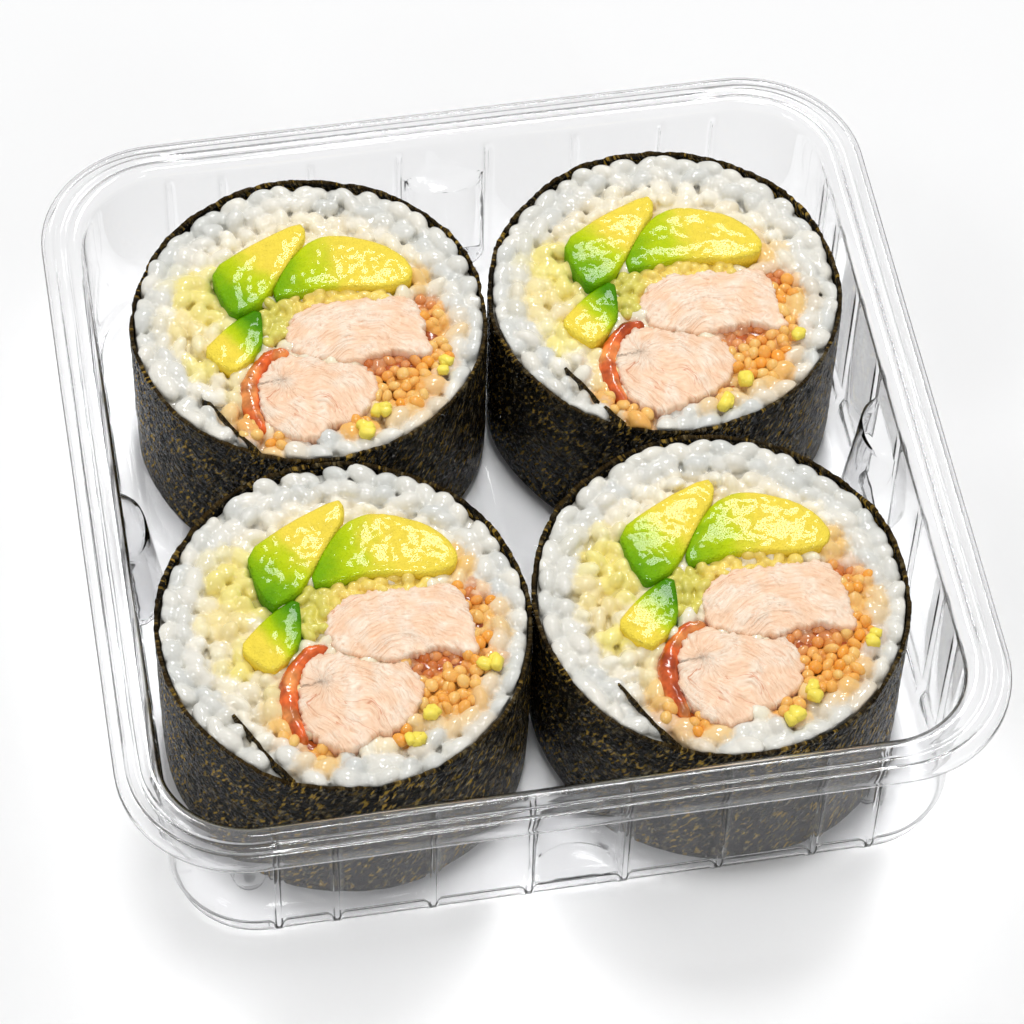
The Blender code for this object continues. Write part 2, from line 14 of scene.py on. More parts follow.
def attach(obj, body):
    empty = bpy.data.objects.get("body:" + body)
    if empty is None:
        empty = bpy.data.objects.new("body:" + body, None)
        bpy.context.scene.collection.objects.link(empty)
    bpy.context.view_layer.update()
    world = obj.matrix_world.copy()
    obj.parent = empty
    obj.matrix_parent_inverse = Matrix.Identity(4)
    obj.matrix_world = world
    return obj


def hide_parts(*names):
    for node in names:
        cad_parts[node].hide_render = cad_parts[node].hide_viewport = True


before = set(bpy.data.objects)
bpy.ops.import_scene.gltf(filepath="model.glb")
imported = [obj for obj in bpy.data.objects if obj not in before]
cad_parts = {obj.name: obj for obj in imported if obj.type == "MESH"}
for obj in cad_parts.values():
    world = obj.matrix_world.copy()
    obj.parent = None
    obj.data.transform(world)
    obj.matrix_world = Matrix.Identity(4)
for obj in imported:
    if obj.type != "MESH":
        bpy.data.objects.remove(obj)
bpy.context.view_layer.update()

# Lengths below are in millimetres, and become metres when a mesh is made
MM = 0.001
WELD_DISTANCE = 2e-6

# Tray
RIM_HALF = (62.5, 64.5)
RIM_CORNER = 18.0
CORNER_SHRINK = 0.85
RIM_Z = 32.0
SHEET = 0.5
THINNED = 0.16
SWAY = 0.045
SWAY_LENGTH = 11.0
FLOOR_Z = 0.7
FOOT_INSET = 6.9
FOOT_FILLET = 2.4
WALL_LOW_INSET = 6.2
WALL_TOP_INSET = 5.9
LEDGE_Z = 4.7
FLOOR_EDGE_INSET = 9.5
GROOVE_DEPTH = 0.9
GROOVE_FADE = 5.0
CORNER_GROOVE_SHARE = 0.55
GROOVE_RIDGE = 0.55
CORNER_STEPS = 16
SIDE_MARGIN = 1.1
WIDEST_COLUMN = 3.0
RIB_PITCH = 13.6
RIB_PLACES = (-3.1, -2.5, -1.5, -0.5, 0.5, 1.5, 2.5, 3.1)
RIB_FRONT_INSET = 5.6
RIB_DEPTH = 0.6
RIB_HALF_WIDTHS = (1.2, 0.95)
RIB_SPAN = (1.4, 30.4)
RIB_FADES = (3.6, 3.4)
LUG_SPAN = (6.6, 23.5)
LUG_HALF_WIDTHS = (6.2, 5.4)
LUG_DEPTHS = (5.2, 3.2)
LUG_EDGE = 0.45
PAD_RISE = 0.8
PAD_CHANNEL_HALF = 2.2
PAD_FAR = (51.3, 53.3)
PAD_CENTRE_CUT = 3.0
PAD_LUG_CUT = 9.0
PAD_CORNER = 9.0
PAD_SLOPE = 1.0
PAD_RINGS = 5
NUBS = ((-45.0, -47.0, PAD_RISE), (45.0, -47.0, PAD_RISE), (0.0, 48.0, 0.0))
NUB_HALVES = (2.6, 2.2, 0.9)
NUB_CROWN = 0.1

# Slices: centre, half widths, and how far the fillings lie off the centre
ROLLS = {
    "back_left": ((-24.8, 29.6), (26.4, 26.5), (0.0, -0.5)),
    "back_right": ((28.2, 26.8), (26.3, 26.9), (-0.4, -0.6)),
    "front_left": ((-27.8, -25.3), (26.3, 28.0), (1.2, 1.7)),
    "front_right": ((25.5, -28.6), (26.6, 27.7), (0.7, 0.6)),
}
LAYOUT_HALF = (26.4, 27.2)
ROLL_BASE_Z = 2.3
NORI_TOP_Z = 29.0
NORI_THICKNESS = 0.5
NORI_COLUMNS = 420
NORI_ROWS = 54
# Height and width of the sheet's relief: broad bulges, crinkles and fine noise
NORI_BULGE = (0.30, 2.9)
NORI_CRINKLE = (0.30, 1.15)
NORI_FINE = (0.08, 0.5)
NORI_MEAN_CELL = 0.7
RICE_CORE_Z = 26.4
RICE_PLATE_Z = (25.0, 26.9)
RICE_TOP_Z = 29.2
RICE_INSET = 0.7
RICE_VOXEL = 0.22
RICE_KEPT = 0.28
MASH_VOXEL = 0.2
MASH_KEPT = 0.6
MASH_GAP = 1.35
# Length, width and height of the grains and lumps
RING_GRAIN = (4.4, 3.1, 2.8)
INNER_GRAIN = (3.9, 2.6, 2.5)
SAUCED_GRAIN = (2.1, 1.65, 1.8)
UNDER_GRAIN = (3.9, 2.9, 2.7)
SMALL_GRAIN = (2.2, 1.75, 1.75)
MASH_LUMP = (2.4, 1.8, 1.8)
CRUMB = (1.0, 0.75, 0.7)
# Inset, gap and size of the two rings of grains along the sheet
RINGS = ((1.7, 3.4, 1.0), (4.2, 3.2, 0.96))
# Grains round the edge are greyer than those inside: painted shade where they lie against the dark sheet
RING_SHADED_COLOUR = (219, 220, 215)
INNER_COLOUR = (255, 248, 232)
CREAM = (251, 238, 208)
TAIL_HALF = 0.22
TAIL_TOP = 28.8
TAIL_LINE = ((-10.6, -24.4), (-13.6, -19.8), (-15.6, -15.8), (-17.4, -12.6))

AVOCADO_A = (
    (-13.1, 10.9), (-6.3, 15.0), (0.9, 18.0), (1.4, 16.5), (0.9, 14.7),
    (-2.0, 10.8), (-6.2, 4.4), (-8.2, 3.0), (-10.9, 1.7), (-12.4, 5.5),
)
AVOCADO_B = (
    (-5.0, 4.6), (-1.8, 10.4), (1.3, 13.7), (4.2, 14.9), (7.6, 14.4), (12.4, 12.2),
    (15.1, 9.3), (16.2, 6.4), (15.3, 4.6), (11.6, 4.1), (7.0, 4.9), (2.5, 5.4), (-1.5, 4.6),
)
AVOCADO_C = (
    (-16.0, -4.2), (-13.5, -1.6), (-10.6, 0.8), (-7.2, 2.6), (-7.4, -1.0),
    (-7.9, -4.2), (-10.2, -7.2), (-12.4, -8.6), (-14.6, -6.4),
)
MASH = (
    (-6.7, 4.0), (-1.5, 4.1), (2.5, 4.9), (7.0, 4.4), (11.4, 3.6), (11.2, 2.4), (7.0, 2.7),
    (2.6, 3.0), (-0.6, 2.4), (-3.6, 0.2), (-4.4, -2.6), (-6.9, -3.6), (-6.9, -0.9),
)
CHICKEN_A = (
    (-3.6, -3.6), (-3.3, -0.6), (-1.0, 1.6), (2.6, 2.5), (7.5, 2.2), (11.4, 1.9), (14.0, 2.4),
    (15.6, 0.6), (16.4, -2.4), (16.3, -6.0), (16.6, -9.8), (14.2, -8.9), (11.4, -7.6),
    (6.5, -8.6), (4.2, -8.9), (-0.6, -7.2), (-3.0, -6.0),
)
CHICKEN_B = (
    (-8.0, -9.2), (-6.2, -7.0), (-3.6, -6.6), (-1.0, -8.2), (4.2, -9.9), (6.4, -10.0),
    (7.6, -12.4), (7.6, -15.4), (6.2, -17.9), (3.4, -20.0), (0.4, -20.4), (-1.6, -21.8),
    (-4.4, -22.4), (-6.8, -20.8), (-8.6, -18.6), (-9.2, -15.4), (-9.0, -12.2),
)
RED_STRIP = (
    (-4.2, -4.9), (-7.0, -4.9), (-9.9, -7.7), (-11.7, -11.0), (-11.8, -14.8), (-10.8, -18.2),
    (-9.4, -20.2), (-9.1, -18.9), (-9.7, -15.5), (-9.5, -12.0), (-8.5, -8.9), (-6.5, -6.4),
    (-4.0, -6.0),
)
FILLINGS = {
    "avocado_a": AVOCADO_A, "avocado_b": AVOCADO_B, "avocado_c": AVOCADO_C, "mash": MASH,
    "chicken_a": CHICKEN_A, "chicken_b": CHICKEN_B, "red_strip": RED_STRIP,
}
FILLING_BASE_Z = ROLL_BASE_Z + 0.1
CHICKEN_TOP = 29.3
RED_TOP = 28.9
MASH_BASE_TOP = 27.6
MASH_TOP = 28.4
SAUCE_TOP = 27.5
# Top, and where the green starts and the yellow ends, in the layout
AVOCADO_LOOKS = {
    "avocado_a": (30.1, (-12.4, 5.0), (-2.6, 12.6)),
    "avocado_b": (29.9, (-6.2, 7.6), (10.8, 8.5)),
    "avocado_c": (29.7, (-8.6, -1.0), (-14.2, -4.2)),
}
# Where the fibres of each piece of meat fan out from
FIBRE_FOCUS = {"chicken_a": (5.0, -13.0), "chicken_b": (-5.6, -11.5)}
SAUCE_PLACES = (
    ((5.4, -8.6), (8.6, -7.4), (12.0, -7.2), (16.8, -9.4), (15.0, -12.0), (11.0, -11.6), (8.2, -13.4)),
    ((15.8, 2.2), (18.4, 0.4), (18.8, -4.0), (18.0, -8.8), (16.2, -9.6), (16.0, -3.0), (15.0, 0.4)),
    ((2.6, -20.4), (6.2, -18.2), (8.0, -16.2), (8.8, -17.4), (6.8, -19.8), (3.6, -21.6)),
    (
        (-12.4, -12.0), (-9.8, -9.4), (-8.6, -14.0), (-8.4, -18.6), (-6.2, -21.2), (-9.4, -21.4),
        (-11.8, -18.0),
    ),
)
CRUMBS = ((8.4, -18.5, 2.6), (5.2, -22.3, 2.6), (18.4, -11.6, 2.4))

# Rice zones: centre, radius and colour as seen
YELLOW = (255, 237, 134)
PALE_YELLOW = (253, 232, 162)
AMBER = (250, 204, 118)
ORANGE = (251, 178, 76)
BROWN = (206, 122, 62)
ZONES = (
    ((-9.0, -12.0), 5.0, PALE_YELLOW), ((-18.0, 1.5), 4.0, PALE_YELLOW),
    ((-15.5, 8.5), 4.6, YELLOW), ((-13.2, 3.6), 3.4, YELLOW), ((-16.2, -5.6), 3.2, YELLOW),
    ((17.6, -4.0), 4.6, AMBER), ((16.5, 6.0), 3.0, AMBER), ((11.5, -15.5), 6.0, AMBER),
    ((11.5, -13.6), 5.0, ORANGE), ((16.0, -9.5), 3.6, ORANGE), ((17.2, -1.0), 3.2, ORANGE),
    ((8.6, -10.6), 3.0, BROWN), ((12.4, -9.0), 2.8, BROWN), ((17.0, 1.2), 1.8, BROWN),
    ((-7.6, -22.0), 3.0, AMBER), ((4.6, -20.6), 3.0, AMBER), ((-12.6, -16.5), 2.4, AMBER),
    ((-11.0, -18.6), 1.9, ORANGE), ((-8.0, -21.8), 1.8, ORANGE), ((4.4, -20.6), 1.8, ORANGE),
)
SMALL_GRAIN_COLOURS = (ORANGE, BROWN)
HOLLOWS = (((8.8, -9.8), 2.4), ((12.4, -8.8), 2.2), ((17.2, 1.0), 1.6))
HOLLOW_DEPTH = 0.8
SMALL_GRAIN_GAP = 1.35
GOLD_LIGHT = (255, 208, 124)
GOLD_DEEP = (255, 168, 58)
AMBER_LIGHT = (238, 168, 106)
AMBER_DEEP = (206, 112, 46)

# Camera as fitted to the rim, the foot and the slices in the photograph
LENS = 144.8
SENSOR = 36.0
CAMERA_PLACE = (-69.50, -350.74, 503.41)
CAMERA_RIGHT = (0.98515, -0.17062, 0.01913)
CAMERA_UP = (0.12663, 0.79731, 0.59014)
CAMERA_BACK = (-0.11594, -0.57895, 0.80708)

# Lights: name, place and size in metres, and power in watts
LIGHTS = (
    ("key", (0.02, 0.03, 1.0), (0.14, 0.14), 2.4),
    ("back", (0.16, 0.56, 0.82), (0.22, 0.18), 3.4),
    ("left", (-0.62, -0.25, 0.5), (0.18, 0.18), 0.75),
    ("front", (0.45, -1.2, 0.62), (0.2, 0.2), 1.2),
)
WORLD_STRENGTH = 0.47
FLOOR_REACH = 4.0
BOUNCES = {
    "max_bounces": 9, "diffuse_bounces": 2, "glossy_bounces": 3, "transmission_bounces": 9,
    "transparent_max_bounces": 10,
}


def linear(colour):
    """A colour as seen, in 0 to 255, as the linear values that a shader takes."""
    values = []
    for part in colour:
        share = part / 255
        values.append(share / 12.92 if share <= 0.04045 else ((share + 0.055) / 1.055) ** 2.4)
    return tuple(values)


def rgba(colour):
    return (*linear(colour), 1.0)


def smooth(low, high, value):
    """0 below low, 1 above high, and an S curve between, for numbers or arrays."""
    share = np.clip((value - low) / (high - low), 0.0, 1.0)
    return share * share * (3 - 2 * share)


def noise_at(points, scale, seed):
    """Smooth noise from -1 to 1 at each point, with features of about the scale."""
    shift = Vector((seed * 7.13, seed * 3.71, seed * 5.37))
    return np.array([noise.noise(Vector(point) / scale + shift) for point in points])


def cells_at(points, size, seed):
    """1 on the crest of rounded bumps of about the size, falling to 0 in the creases between."""
    shift = Vector((seed * 3.3, seed * 1.7, seed * 2.9))
    nearest = np.array([noise.voronoi(Vector(point) / size + shift)[0][0] for point in points])
    return np.sqrt(np.clip(1 - (nearest / 0.95) ** 2, 0, 1))


def mixed(first, second, share):
    share = np.asarray(share)[..., None]
    return np.asarray(first) * (1 - share) + np.asarray(second) * share


def flat(spots):
    """Spots of the plane as points at height 0."""
    return np.column_stack([spots, np.zeros(len(spots))])


# Meshes from arrays


def linked(name, data):
    made = bpy.data.objects.new(name, data)
    bpy.context.scene.collection.objects.link(made)
    return made


def paint(mesh, tints):
    """Stores a colour for each point of the mesh."""
    colours = np.ones((len(mesh.vertices), 4), np.float32)
    colours[:, :3] = tints
    mesh.color_attributes.new("tint", "FLOAT_COLOR", "POINT").data.foreach_set("color", colours.ravel())


def weld(piece):
    """Joins points that meet and turns all faces outwards."""
    shaped = bmesh.new()
    shaped.from_mesh(piece.data)
    bmesh.ops.remove_doubles(shaped, verts=shaped.verts, dist=WELD_DISTANCE)
    bmesh.ops.recalc_face_normals(shaped, faces=shaped.faces)
    shaped.to_mesh(piece.data)
    shaped.free()


def fans(faces):
    """Triangles over convex faces."""
    return np.array([(face[0], face[i], face[i + 1]) for face in faces for i in range(1, len(face) - 1)])


def mesh_piece(name, points, faces, material_slot, tints=None):
    """An object from points in millimetres and an array of faces that all have one length."""
    corners = faces.shape[1]
    mesh = bpy.data.meshes.new(name)
    mesh.vertices.add(len(points))
    mesh.vertices.foreach_set("co", (np.asarray(points, np.float32) * MM).ravel())
    mesh.loops.add(faces.size)
    mesh.loops.foreach_set("vertex_index", faces.astype(np.int32).ravel())
    mesh.polygons.add(len(faces))
    mesh.polygons.foreach_set("loop_start", np.arange(0, faces.size, corners, dtype=np.int32))
    mesh.update(calc_edges=True)
    mesh.polygons.foreach_set("use_smooth", np.ones(len(faces), bool))
    if tints is not None:
        paint(mesh, tints)
    mesh.materials.append(material_slot)
    return linked(name, mesh)


def points_of(mesh):
    """The mesh's points in millimetres, and the point at each corner of its faces."""
    points = np.empty(len(mesh.vertices) * 3, np.float32)
    mesh.vertices.foreach_get("co", points)
    corners = np.empty(len(mesh.loops), np.int32)
    mesh.loops.foreach_get("vertex_index", corners)
    return points.reshape(-1, 3) / MM, corners


def give_wrap(mesh, values):
    """A wrap map from one pair of values for each corner of the faces."""
    mesh.uv_layers.new(name="wrap").data.foreach_set("uv", np.asarray(values, np.float32).ravel())


def place(piece, slot, *nodes):
    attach(piece, "root")
    if nodes:
        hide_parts(*nodes)


def outline_distance(points, outline, closed=True):
    """Distance from each point to an outline, negative inside a closed one."""
    points = np.asarray(points, float)
    starts = np.asarray(outline, float)
    ends = np.roll(starts, -1, axis=0)
    if not closed:
        starts, ends = starts[:-1], ends[:-1]
    nearest = np.full(len(points), np.inf)
    crossings = np.zeros(len(points), int)
    for start, end in zip(starts, ends):
        run = end - start
        share = np.clip(((points - start) @ run) / (run @ run), 0, 1)
        gap = np.linalg.norm(points - start - share[:, None] * run, axis=1)
        nearest = np.minimum(nearest, gap)
        if start[1] != end[1]:
            over = (start[1] > points[:, 1]) != (end[1] > points[:, 1])
            reach = start[0] + (points[:, 1] - start[1]) / (end[1] - start[1]) * run[0]
            crossings += over & (points[:, 0] < reach)
    if closed:
        nearest[crossings % 2 == 1] *= -1
    return nearest


def rounded_outline(points, times):
    """The outline with its corners cut twice over, which softens them."""
    line = np.asarray(points, float)
    for _ in range(times):
        after = np.roll(line, -1, axis=0)
        line = np.stack([0.8 * line + 0.2 * after, 0.2 * line + 0.8 * after], 1).reshape(-1, 2)
    return line


def grown_line(line, distance):
    """An outline that runs either way round, moved outwards."""
    run = np.roll(line, -1, axis=0) - np.roll(line, 1, axis=0)
    run /= np.linalg.norm(run, axis=1, keepdims=True)
    out = np.stack([run[:, 1], -run[:, 0]], 1)
    after = np.roll(line, -1, axis=0)
    area = (line[:, 0] * after[:, 1] - after[:, 0] * line[:, 1]).sum()
    return line + out * distance * (1 if area > 0 else -1)


def spaced_outline(points, spacing):
    line = np.vstack([points, points[:1]])
    runs = np.linalg.norm(np.diff(line, axis=0), axis=1)
    along = np.concatenate([[0], np.cumsum(runs)])
    count = max(12, round(along[-1] / spacing))
    steps = np.linspace(0, along[-1], count, endpoint=False)
    return np.stack([np.interp(steps, along, line[:, 0]), np.interp(steps, along, line[:, 1])], 1)


# Tray


def side_columns(length):
    """Places along a straight side, close together where a rib or the lug is."""
    places = {-length, length}
    for pitch in RIB_PLACES:
        for off in (-1.25, -0.95, -0.65, -0.4, -0.15, 0.15, 0.4, 0.65, 0.95, 1.25):
            places.add(round(pitch * RIB_PITCH + off, 3))
    for step in range(-10, 11):
        places.add(round(step * 0.7, 3))
    places = sorted(spot for spot in places if abs(spot) <= length)
    filled = [places[0]]
    for spot in places[1:]:
        gap = spot - filled[-1]
        if gap < 0.05:
            continue
        parts = math.ceil(gap / WIDEST_COLUMN)
        filled += [filled[-1] + gap * part / parts for part in range(1, parts + 1)]
    return filled


def tray_columns():
    """For each column round the tray: its kind, side, and angle or place along the side."""
    columns = []
    for quarter in range(4):
        for step in range(CORNER_STEPS + 1):
            columns.append(("corner", quarter, (quarter + step / CORNER_STEPS) * math.pi / 2))
        length = RIM_HALF[quarter % 2] - RIM_CORNER - SIDE_MARGIN
        columns += [("side", quarter, spot) for spot in side_columns(length)]
    return columns


def under_profile():
    """Inset and height of the sheet's under side, from the floor to the edge of the lip."""
    rows = [(FLOOR_EDGE_INSET, FLOOR_Z)]
    centre = (FOOT_INSET + FOOT_FILLET, FLOOR_Z + FOOT_FILLET)
    for step in range(9):
        turn = math.pi / 2 * step / 8
        rows.append((centre[0] - FOOT_FILLET * math.sin(turn), centre[1] - FOOT_FILLET * math.cos(turn)))
    rows += [(6.9, 3.4), (6.9, 4.1), (6.88, 4.6), (6.75, 4.85), (6.55, 5.05), (6.36, 5.2)]
    rows += [(6.24, 5.4), (6.2, 5.7)]
    heights = [6.0, 6.3, 6.55, 6.8, 7.1, 8.5, 11, 14, 17, 20, 22.4]
    heights += [23.0, 23.3, 23.6, 23.9, 24.6, 26, 27.2, 28.2, 29.2, 30.0]
    for height in heights:
        share = (height - 5.4) / (30.4 - 5.4)
        rows.append((WALL_LOW_INSET + (WALL_TOP_INSET - WALL_LOW_INSET) * share, height))
    rows += [(5.87, 30.4), (5.78, 30.8), (5.6, 31.15), (5.35, 31.38), (5.05, 31.48), (4.75, 31.5)]
    rows += [(4.5 - 0.2 * step, 31.5) for step in range(17)]
    rows += [(1.2, 31.48), (0.95, 31.42)]
    rows += [(0.76, 31.28), (0.62, 31.08), (0.53, 30.8), (0.5, 30.5), (0.5, 30.15), (0.5, 29.8)]
    return rows


def tray_point(kind, side, spot, inset):
    radius = RIM_CORNER - CORNER_SHRINK * inset
    half = (RIM_HALF[0] - inset, RIM_HALF[1] - inset)
    if kind == "corner":
        signs = ((1, 1), (-1, 1), (-1, -1), (1, -1))[side]
        x = signs[0] * (half[0] - radius) + radius * math.cos(spot)
        y = signs[1] * (half[1] - radius) + radius * math.sin(spot)
        return x, y
    turn = (side + 1) * math.pi / 2
    out = (round(math.cos(turn)), round(math.sin(turn)))
    reach = abs(out[0]) * half[0] + abs(out[1]) * half[1]
    return out[0] * reach - out[1] * spot, out[1] * reach + out[0] * spot


def wall_inset(inset, height, spot):
    """The wall's inset with its ribs and its lug."""
    low, high = RIB_SPAN
    if low < height < high and inset > WALL_TOP_INSET - 0.2:
        share = (height - low) / (high - low)
        half = RIB_HALF_WIDTHS[0] + (RIB_HALF_WIDTHS[1] - RIB_HALF_WIDTHS[0]) * share
        depth = max(inset - RIB_FRONT_INSET, RIB_DEPTH) if height < 6 else RIB_DEPTH
        depth *= float(smooth(low, low + RIB_FADES[0], height))
        depth *= float(1 - smooth(high - RIB_FADES[1], high, height))
        for pitch in RIB_PLACES:
            across = abs(spot - pitch * RIB_PITCH) / half
            if across < 1:
                return inset - depth * float(1 - smooth(0.4, 1.0, across))
    low, high = LUG_SPAN
    share = min(1, max(0, (height - low) / (high - low)))
    half = LUG_HALF_WIDTHS[0] + (LUG_HALF_WIDTHS[1] - LUG_HALF_WIDTHS[0]) * share
    depth = LUG_DEPTHS[0] + (LUG_DEPTHS[1] - LUG_DEPTHS[0]) * share
    depth *= float(smooth(low - LUG_EDGE, low + LUG_EDGE, height))
    depth *= float(1 - smooth(high - LUG_EDGE, high + LUG_EDGE, height))
    if abs(spot) < half and depth > 0:
        return inset + depth * math.sqrt(1 - (spot / half) ** 2)
    return inset


def rim_height(inset, height, kind, side, spot):
    """The rim's height with its groove, which is shallower round the corners, and the ridge in it."""
    if height < 31.4 or inset > 4.6 or inset < 1.2:
        return height
    fade = 0.0
    if kind == "side":
        end = RIM_HALF[side % 2] - RIM_CORNER - SIDE_MARGIN
        fade = float(smooth(0.0, GROOVE_FADE, end - abs(spot)))
    across = float(smooth(1.3, 1.9, inset) * (1 - smooth(3.7, 4.4, inset)))
    across *= 1 - GROOVE_RIDGE * max(0.0, 1 - abs(inset - 2.8) / 0.55)
    return height - GROOVE_DEPTH * (CORNER_GROOVE_SHARE + (1 - CORNER_GROOVE_SHARE) * fade) * across


def pad_outline(grow):
    """One raised quarter of the floor, in the corner where x and y are positive."""
    near = PAD_CHANNEL_HALF - grow
    far_x = PAD_FAR[0] + grow
    far_y = PAD_FAR[1] + grow
    points = [(near, near + PAD_CENTRE_CUT), (near + PAD_CENTRE_CUT, near)]
    points += [(far_x - PAD_LUG_CUT, near), (far_x, near + PAD_LUG_CUT)]
    for step in range(9):
        turn = math.pi / 2 * step / 8
        points.append((far_x - PAD_CORNER * (1 - math.cos(turn)), far_y - PAD_CORNER * (1 - math.sin(turn))))
    points += [(near + PAD_LUG_CUT, far_y), (near, far_y - PAD_LUG_CUT)]
    return points


def floor_patch(edge):
    """Triangles of the floor inside its edge, with each point's height above the floor."""
    points = [Vector(spot) for spot in edge]
    rises = [0.0] * len(points)
    loops = [list(range(len(points)))]

    def add_loop(spots, rise):
        loops.append(list(range(len(points), len(points) + len(spots))))
        points.extend(Vector(spot) for spot in spots)
        rises.extend([rise] * len(spots))

    for side_x in (1, -1):
        for side_y in (1, -1):
            for ring in range(PAD_RINGS):
                share = ring / (PAD_RINGS - 1)
                spots = [(side_x * x, side_y * y) for x, y in pad_outline(PAD_SLOPE * (1 - share))]
                add_loop(spots, PAD_RISE * float(smooth(0, 1, share)))
    for x, y, root in NUBS:
        for half, rise in zip(NUB_HALVES, (root, NUB_CROWN - FLOOR_Z, -FLOOR_Z)):
            turns = [math.pi * step / 8 for step in range(16)]
            add_loop([(x + half * math.cos(turn), y + half * math.sin(turn)) for turn in turns], rise)
    edges = [(loop[i], loop[(i + 1) % len(loop)]) for loop in loops for i in range(len(loop))]
    made = delaunay_2d_cdt(points, edges, [], 0, 1e-6)
    where = np.array([[spot.x, spot.y] for spot in made[0]])
    heights = np.array([rises[origin[0]] for origin in made[3]])
    return where, heights, fans(made[2])


def build_tray(material):
    columns = tray_columns()
    rows = under_profile()
    grid = np.empty((len(rows), len(columns), 3))
    for i, (inset, height) in enumerate(rows):
        for j, (kind, side, spot) in enumerate(columns):
            shaped = inset
            if kind == "side" and RIB_SPAN[0] < height < RIB_SPAN[1] and inset > 5.5:
                shaped = wall_inset(inset, height, spot)
            x, y = tray_point(kind, side, spot, shaped)
            grid[i, j] = (x, y, rim_height(inset, height, kind, side, spot))
    down = np.gradient(grid, axis=0)
    along = (np.roll(grid, -1, axis=1) - np.roll(grid, 1, axis=1)) / 2
    normals = np.cross(down, along)
    normals /= np.linalg.norm(normals, axis=2, keepdims=True) + 1e-12
    if normals[0, :, 2].mean() < 0:
        normals = -normals
    normals[0] = (0, 0, 1)
    off_floor = smooth(0, len(rows) / 8, np.arange(len(rows)))[:, None]
    sway = SWAY * off_floor * noise_at(grid.reshape(-1, 3), SWAY_LENGTH, 7).reshape(grid.shape[:2])
    upper = grid + (SHEET + sway)[:, :, None] * normals
    grid = grid + (THINNED * off_floor + sway)[:, :, None] * normals
    count = len(columns)
    last = len(rows) - 1
    points = [grid.reshape(-1, 3), upper.reshape(-1, 3)]
    shift = grid.shape[0] * count
    index = np.arange(shift).reshape(len(rows), count)
    nexts = np.roll(index, -1, axis=1)
    under = np.stack([index[:-1], nexts[:-1], nexts[1:], index[1:]], -1).reshape(-1, 4)
    over = under[:, ::-1] + shift
    lip = np.stack([index[last], nexts[last], nexts[last] + shift, index[last] + shift], -1)
    quads = np.concatenate([under, over, lip])
    triangles = np.concatenate([quads[:, [0, 1, 2]], quads[:, [0, 2, 3]]])
    where, heights, patch = floor_patch(grid[0, :, :2])
    base = np.column_stack([where, FLOOR_Z + heights])
    top = np.column_stack([where, FLOOR_Z + SHEET + heights])
    start = 2 * shift
    points += [base, top]
    all_faces = np.concatenate([triangles, patch[:, ::-1] + start, patch + start + len(base)])
    tray = mesh_piece("tray_clear", np.concatenate(points), all_faces, material)
    weld(tray)
    tray.data.set_sharp_from_angle(angle=math.radians(50))
    place(tray, "tray", "tray")


# Slices


def slab(name, outline, base, height_at, tint_at, material, spacing, edge_round):
    """A closed block on an outline, whose top follows height_at and whose colour tint_at."""
    edge = spaced_outline(outline, spacing)
    low = edge.min(axis=0)
    high = edge.max(axis=0)
    rng = np.random.default_rng(len(name))
    xs = np.arange(low[0], high[0], spacing)
    ys = np.arange(low[1], high[1], spacing)
    grid = np.stack(np.meshgrid(xs, ys), -1).reshape(-1, 2)
    grid = grid + rng.uniform(-0.25, 0.25, grid.shape) * spacing
    depth = -outline_distance(grid, edge)
    grid = grid[depth > spacing * 0.6]
    points = [Vector(spot) for spot in np.vstack([edge, grid])]
    count = len(edge)
    borders = [(i, (i + 1) % count) for i in range(count)]
    made = delaunay_2d_cdt(points, borders, [list(range(count))], 1, 1e-6)
    where = np.array([[spot.x, spot.y] for spot in made[0]])
    triangles = fans(made[2])
    depth = np.maximum(-outline_distance(where, edge), 0)
    depth[:count] = 0
    share = np.clip(depth / edge_round, 0, 1)
    fall = edge_round * (1 - np.sqrt(1 - (1 - share) ** 2))
    tops = height_at(where, depth) - fall
    top = np.column_stack([where, tops])
    rows = [top[:count]]
    for part in (0.12, 0.4, 1.0):
        row = top[:count].copy()
        row[:, 2] += (base - row[:, 2]) * part
        rows.append(row)
    ring = len(top)
    points = [top] + rows[1:]
    quads = []
    starts = [0, ring, ring + count, ring + 2 * count]
    for upper, lower in zip(starts, starts[1:]):
        for i in range(count):
            j = (i + 1) % count
            quads += [(upper + i, lower + i, lower + j), (upper + i, lower + j, upper + j)]
    floor = top.copy()
    floor[:, 2] = base
    start = ring + 3 * count
    points.append(floor)
    closing = triangles[:, ::-1] + start
    all_points = np.concatenate(points)
    faces = np.concatenate([triangles, np.array(quads), closing])
    piece = mesh_piece(name, all_points, faces, material, tint_at(all_points))
    weld(piece)
    return piece


def ball(steps):
    """Points and triangles of a unit ball."""
    made = bmesh.new()
    bmesh.ops.create_icosphere(made, subdivisions=steps, radius=1.0)
    points = np.array([vert.co[:] for vert in made.verts])
    faces = np.array([[vert.index for vert in face.verts] for face in made.faces])
    made.free()
    return points, faces


FINE_BALL = ball(3)
PLAIN_BALL = ball(2)
BLEND_SOURCES = 5


def any_turn(rng, tilt, axis="Y"):
    """Any turn on the spot, with a tilt of up to the given angle."""
    turned = Matrix.Rotation(rng.uniform(0, math.pi), 3, "Z")
    return turned @ Matrix.Rotation(rng.uniform(-tilt, tilt), 3, axis)


def spread_out(spots, gaps, taken=()):
    """The spots that keep their gaps from the taken ones and from those found before them."""
    chosen = list(taken)
    found = []
    for spot, gap in zip(spots, gaps):
        if chosen and np.linalg.norm(np.array(chosen) - spot, axis=1).min() < gap:
            continue
        chosen.append(spot)
        found.append(spot)
    return np.array(found)


